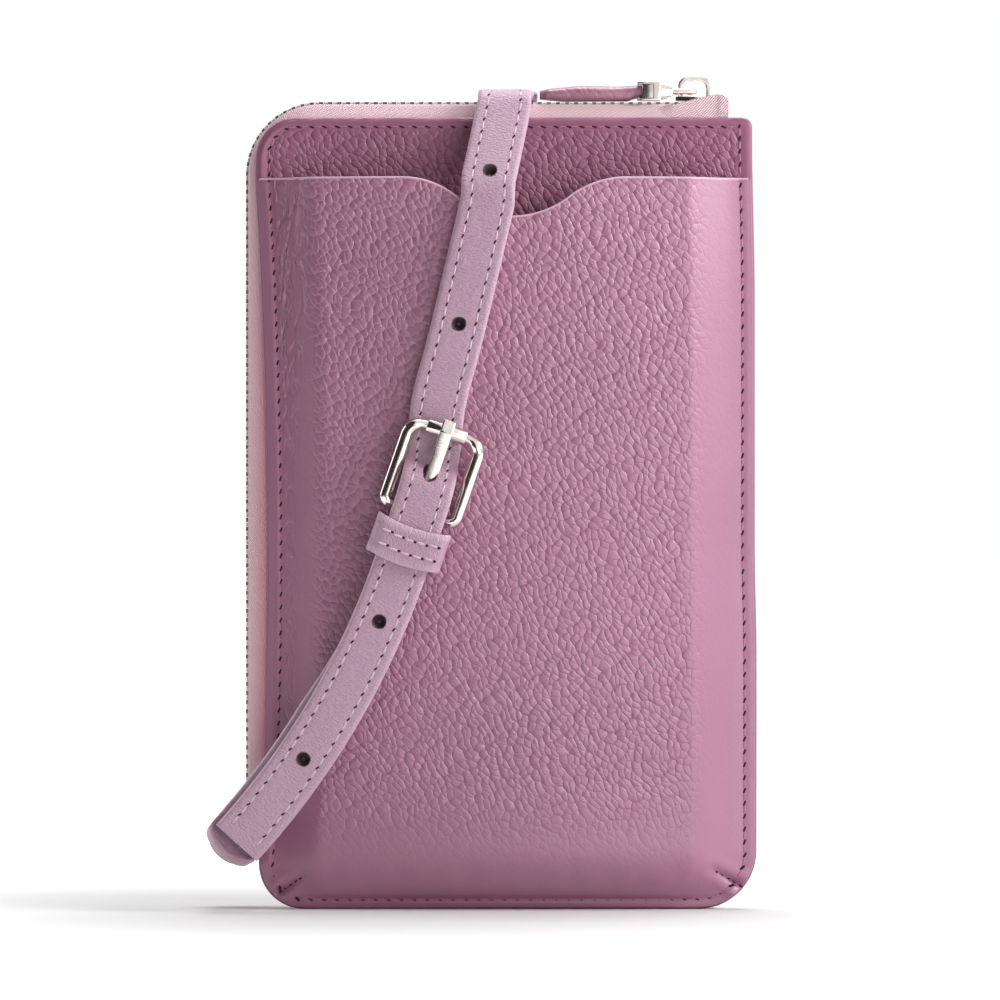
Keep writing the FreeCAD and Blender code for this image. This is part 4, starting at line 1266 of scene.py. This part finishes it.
def rounded_frame(heel_corner, top_corner):
    """Centre line of the frame, once round."""
    path = []
    corners = ((1, 0, heel_corner, -90, 0), (1, buckle_height, top_corner, 0, 90),
               (-1, buckle_height, top_corner, 90, 180), (-1, 0, heel_corner, 180, 270))
    for side, height, radius, start, end in corners:
        centre_x = side * (frame_half - radius)
        centre_z = height + (radius if height == 0 else -radius)
        for angle in np.linspace(start, end, 12):
            a = math.radians(angle)
            path.append((centre_x + radius * math.cos(a), 0.0, centre_z + radius * math.sin(a)))
    return path


def frame_rod(path):
    """Rod radius along the frame: full at the sides, thin at the bars."""
    for x, _, z in path:
        near_side = ramp(abs(x), 5.6, 7.6)
        thin = 1.25 if z < buckle_height / 2 else 1.1
        yield thin + (1.5 - thin) * float(near_side)


frame_corners = [np.array(corner) for corner in rounded_frame(1.6, 3.5)]
frame_path = []
for place, following in zip(frame_corners, frame_corners[1:] + frame_corners[:1]):
    steps = max(int(math.dist(place, following)), 1)
    frame_path += [place + (following - place) * step / steps for step in range(steps)]
sides = 24
frame_points = []
backward = np.array([0.0, 1.0, 0.0])
for number, (place, radius) in enumerate(zip(frame_path, frame_rod(frame_path))):
    following = frame_path[(number + 1) % len(frame_path)]
    ahead = following - frame_path[number - 1]
    ahead = ahead / np.linalg.norm(ahead)
    out = np.array([ahead[2], 0.0, -ahead[0]])
    for turn in np.linspace(0, 2 * math.pi, sides, endpoint=False):
        frame_points.append(place + radius * (math.cos(turn) * out + math.sin(turn) * backward))
frame_faces = ring_faces(len(frame_path), sides, closed=True)
buckle = new_piece("buckle_frame_cast", in_buckle(frame_points), frame_faces, pale_nickel)
outward_faces(buckle)
fit(buckle, "buckle", "nickel", "buckle_frame")

roller_half, roller_radius, roller_bore, roller_soft = 4.7, 1.8, 1.16, 0.1
roller_profile = [(roller_bore, -roller_half), (roller_radius - roller_soft, -roller_half),
                  (roller_radius, -roller_half + roller_soft),
                  (roller_radius, roller_half - roller_soft),
                  (roller_radius - roller_soft, roller_half), (roller_bore, roller_half)]
roller_points = []
sides = 32
for radius, along in roller_profile:
    for turn in np.linspace(0, 2 * math.pi, sides, endpoint=False):
        roller_points.append((along, radius * math.cos(turn), buckle_height + radius * math.sin(turn)))
roller_faces = ring_faces(len(roller_profile), sides, closed=True)
roller = new_piece("buckle_roller_tube", in_buckle(roller_points), roller_faces, pale_nickel)
outward_faces(roller)
fit(roller, "buckle_roller", "nickel", "buckle_roller")
prong = softened("buckle_prong", "buckle_prong_cast", pale_nickel, 0.4)
fit(prong, "buckle_prong", "nickel", "buckle_prong")

# STRAP KEEPER
# A loop of the strap's leather, folded double with two rows of stitching. It holds the long
# strap's tail down on the short strap.

keeper_middle = 7.7
keeper_half = 4.5
inner_half_width, keeper_wall = 7.9, 1.2
keeper_front, keeper_back = 8.3, 1.3
keeper_deep = (keeper_front - keeper_back) / 2
keeper_row, keeper_groove, keeper_pitch = 1.6, 1.1, 2.8
loop_count = 72


def keeper_loop(grow):
    """Rounded loop round both straps: (across, height above the pocket)."""
    middle = (keeper_front + keeper_back) / 2
    loop = []
    for turn in np.linspace(0, 2 * math.pi, loop_count, endpoint=False):
        c, s = math.cos(turn), math.sin(turn)
        loop.append(((inner_half_width + 0.75 * grow) * math.copysign(abs(c) ** 0.42, c),
                     middle + (keeper_deep + grow) * math.copysign(abs(s) ** 0.42, s)))
    return loop


def keeper_point(along, across, lift):
    """A keeper point in the pouch's frame: along the strap from the buckle's heel; the front sags."""
    up = Vector(up_way)
    along += float(ramp(lift, 3.0, 8.0)) * (1.2 * (across / 8.8) ** 2 - 0.7)
    side = up.cross(Vector(outward))
    base = Vector((heel_x, plateau, heel_z)) - up * keeper_middle
    return base + up * along + side * across + Vector(outward) * lift


half_profile = [(-keeper_half, 0.05), (-keeper_half, 1.0), (-keeper_half + 0.25, 1.15),
                (-2.7, keeper_wall), (-keeper_row, keeper_groove)]
profile = half_profile + [(0.0, keeper_wall)]
profile += [(-along, grow) for along, grow in reversed(half_profile)]
points, run, across, rim = [], [], [], []
for along, grow in profile:
    for a, lift in keeper_loop(grow):
        points.append(tuple(keeper_point(along, a, lift)))
        run.append(a)
        across.append(along)
        rim.append(1.0 if abs(along) > keeper_half - 0.3 else 0.0)
faces = ring_faces(len(profile), loop_count, closed=True)
keeper = new_piece("strap_keeper_leather", points, faces, lilac_leather,
                   run=run, across=across, edge=rim)
outward_faces(keeper)
fit(keeper, "strap_keeper", "strap_leather", "strap_keeper")
places, ways, outs = [], [], []
for along in (-keeper_row, keeper_row):
    for a in np.arange(-2, 3) * keeper_pitch:
        places.append(tuple(keeper_point(along, a, keeper_front + keeper_groove)))
        ways.append(tuple(Vector(up_way).cross(Vector(outward))))
        outs.append(outward)
places, ways, outs = np.array(places), np.array(ways), np.array(outs)
points, faces = pellets(places, ways, outs, 2.2, 0.5, 0.4, 6, 5)
keeper_thread = new_piece("strap_keeper_thread", points, faces, lilac_thread)
fit(keeper_thread, "strap_keeper", "strap_leather")
# Dark pellets in the keeper's needle holes: painted shade.
points, faces = pellets(places + ways * keeper_pitch / 2, ways, outs, 0.8, 0.6, 0.3, 6, 3)
keeper_needle_holes = new_piece("strap_keeper_needle_holes", points, faces, painted_shade_slits)
fit(keeper_needle_holes, "strap_keeper", "strap_leather")

# STAGE
# Plain white floor and soft studio light from the upper right; the camera stands level in
# front, far away. Dark cards, seen in reflections alone, draw the metal's edges and keep the
# leather's left sides dark.


def stage_sheet(name, corners, material):
    """A flat piece of the studio from its four corners in metres."""
    mesh = bpy.data.meshes.new(name)
    mesh.from_pydata(corners, [], [(0, 1, 2, 3)])
    mesh.materials.append(material)
    sheet = in_scene(name, mesh)
    return sheet


def seen_directly(shade):
    """One for what the camera, a reflection or a view through glass sees, otherwise nothing."""
    names = ("Is Camera Ray", "Is Glossy Ray", "Is Transmission Ray")
    rays = [shade.node("LightPath", output=name) for name in names]
    return shade.math("MINIMUM", rays[0] + rays[1] + rays[2], 1.0)


floor_white, floor_shader, floor_place = new_material("white_floor", Roughness=0.9,
                                                      Emission_Strength=1.0)
floor_shader.inputs["Base Color"].default_value = (0.72, 0.72, 0.72, 1)
away = floor_place.node("VectorMath", {"operation": "LENGTH"}, output=1, in_0=floor_place)
glow = seen_directly(floor_place) * away.smooth(0.07, 0.30, 0.04, 1.0)
feed(glow.between((0, 0, 0, 1), (1, 1, 1, 1)), floor_shader, "Emission Color")
floor_level = -0.0002
floor_corners = [(across, deep, floor_level) for across, deep in ((-8, -8), (8, -8), (8, 8), (-8, 8))]
stage_sheet("floor", floor_corners, floor_white)

studio = bpy.data.worlds.new("studio")
studio.use_nodes = True
bpy.context.scene.world = studio
sky = studio.node_tree.nodes["Background"]
sky.inputs["Strength"].default_value = 1.0
wall = Shade(studio.node_tree, None)
ambient = (0.235, 0.235, 0.235, 1)
feed(seen_directly(wall).between(ambient, (1, 1, 1, 1)), sky, "Color")


def soft_lamp(name, place, aim, size, power):
    """Square area lamp that looks at a point."""
    light = bpy.data.lights.new(name, "AREA")
    light.size = size
    light.energy = power
    lamp = in_scene(name, light)
    lamp.location = place
    lamp.rotation_euler = (Vector(aim) - Vector(place)).to_track_quat("-Z", "Y").to_euler()


pouch_middle = (0, 0, 0.09)
soft_lamp("key_right", (0.42, -0.17, 0.33), pouch_middle, 0.24, 2.3)
soft_lamp("front_right", (0.40, -0.80, 0.02), pouch_middle, 0.4, 3.0)
soft_lamp("top_back", (0.08, 0.20, 0.85), pouch_middle, 0.45, 5.0)
soft_lamp("fill_left", (-0.60, 0.14, 0.30), pouch_middle, 0.4, 1.2)

card_dark, card_shader = new_material("dark_card", Roughness=1.0)[:2]
card_shader.inputs["Base Color"].default_value = (0.02, 0.018, 0.02, 1)
card_corners = {
    "card_left": [(-0.80, 0.25, -0.1), (-0.06, -0.80, -0.1), (-0.06, -0.80, 1.3), (-0.80, 0.25, 1.3)],
    "card_low": [(-0.5, -0.75, 0.004), (0.5, -0.75, 0.004), (0.5, -0.40, 0.004), (-0.5, -0.40, 0.004)],
}
for card_name, corners in card_corners.items():
    card = stage_sheet(card_name, corners, card_dark)
    card.visible_camera = False
    card.visible_diffuse = False
    card.visible_shadow = False

camera_data = bpy.data.cameras.new("camera")
camera_away, seen_width = 1.6, 0.230
camera_data.sensor_width = 36.0
camera_data.lens = camera_data.sensor_width * camera_away / seen_width
camera = in_scene("camera", camera_data)
camera.location = (-0.0022, -camera_away, 0.0938)
camera.rotation_euler = (math.radians(90), 0, 0)
bpy.context.scene.camera = camera
bpy.context.scene.view_settings.view_transform = "Standard"
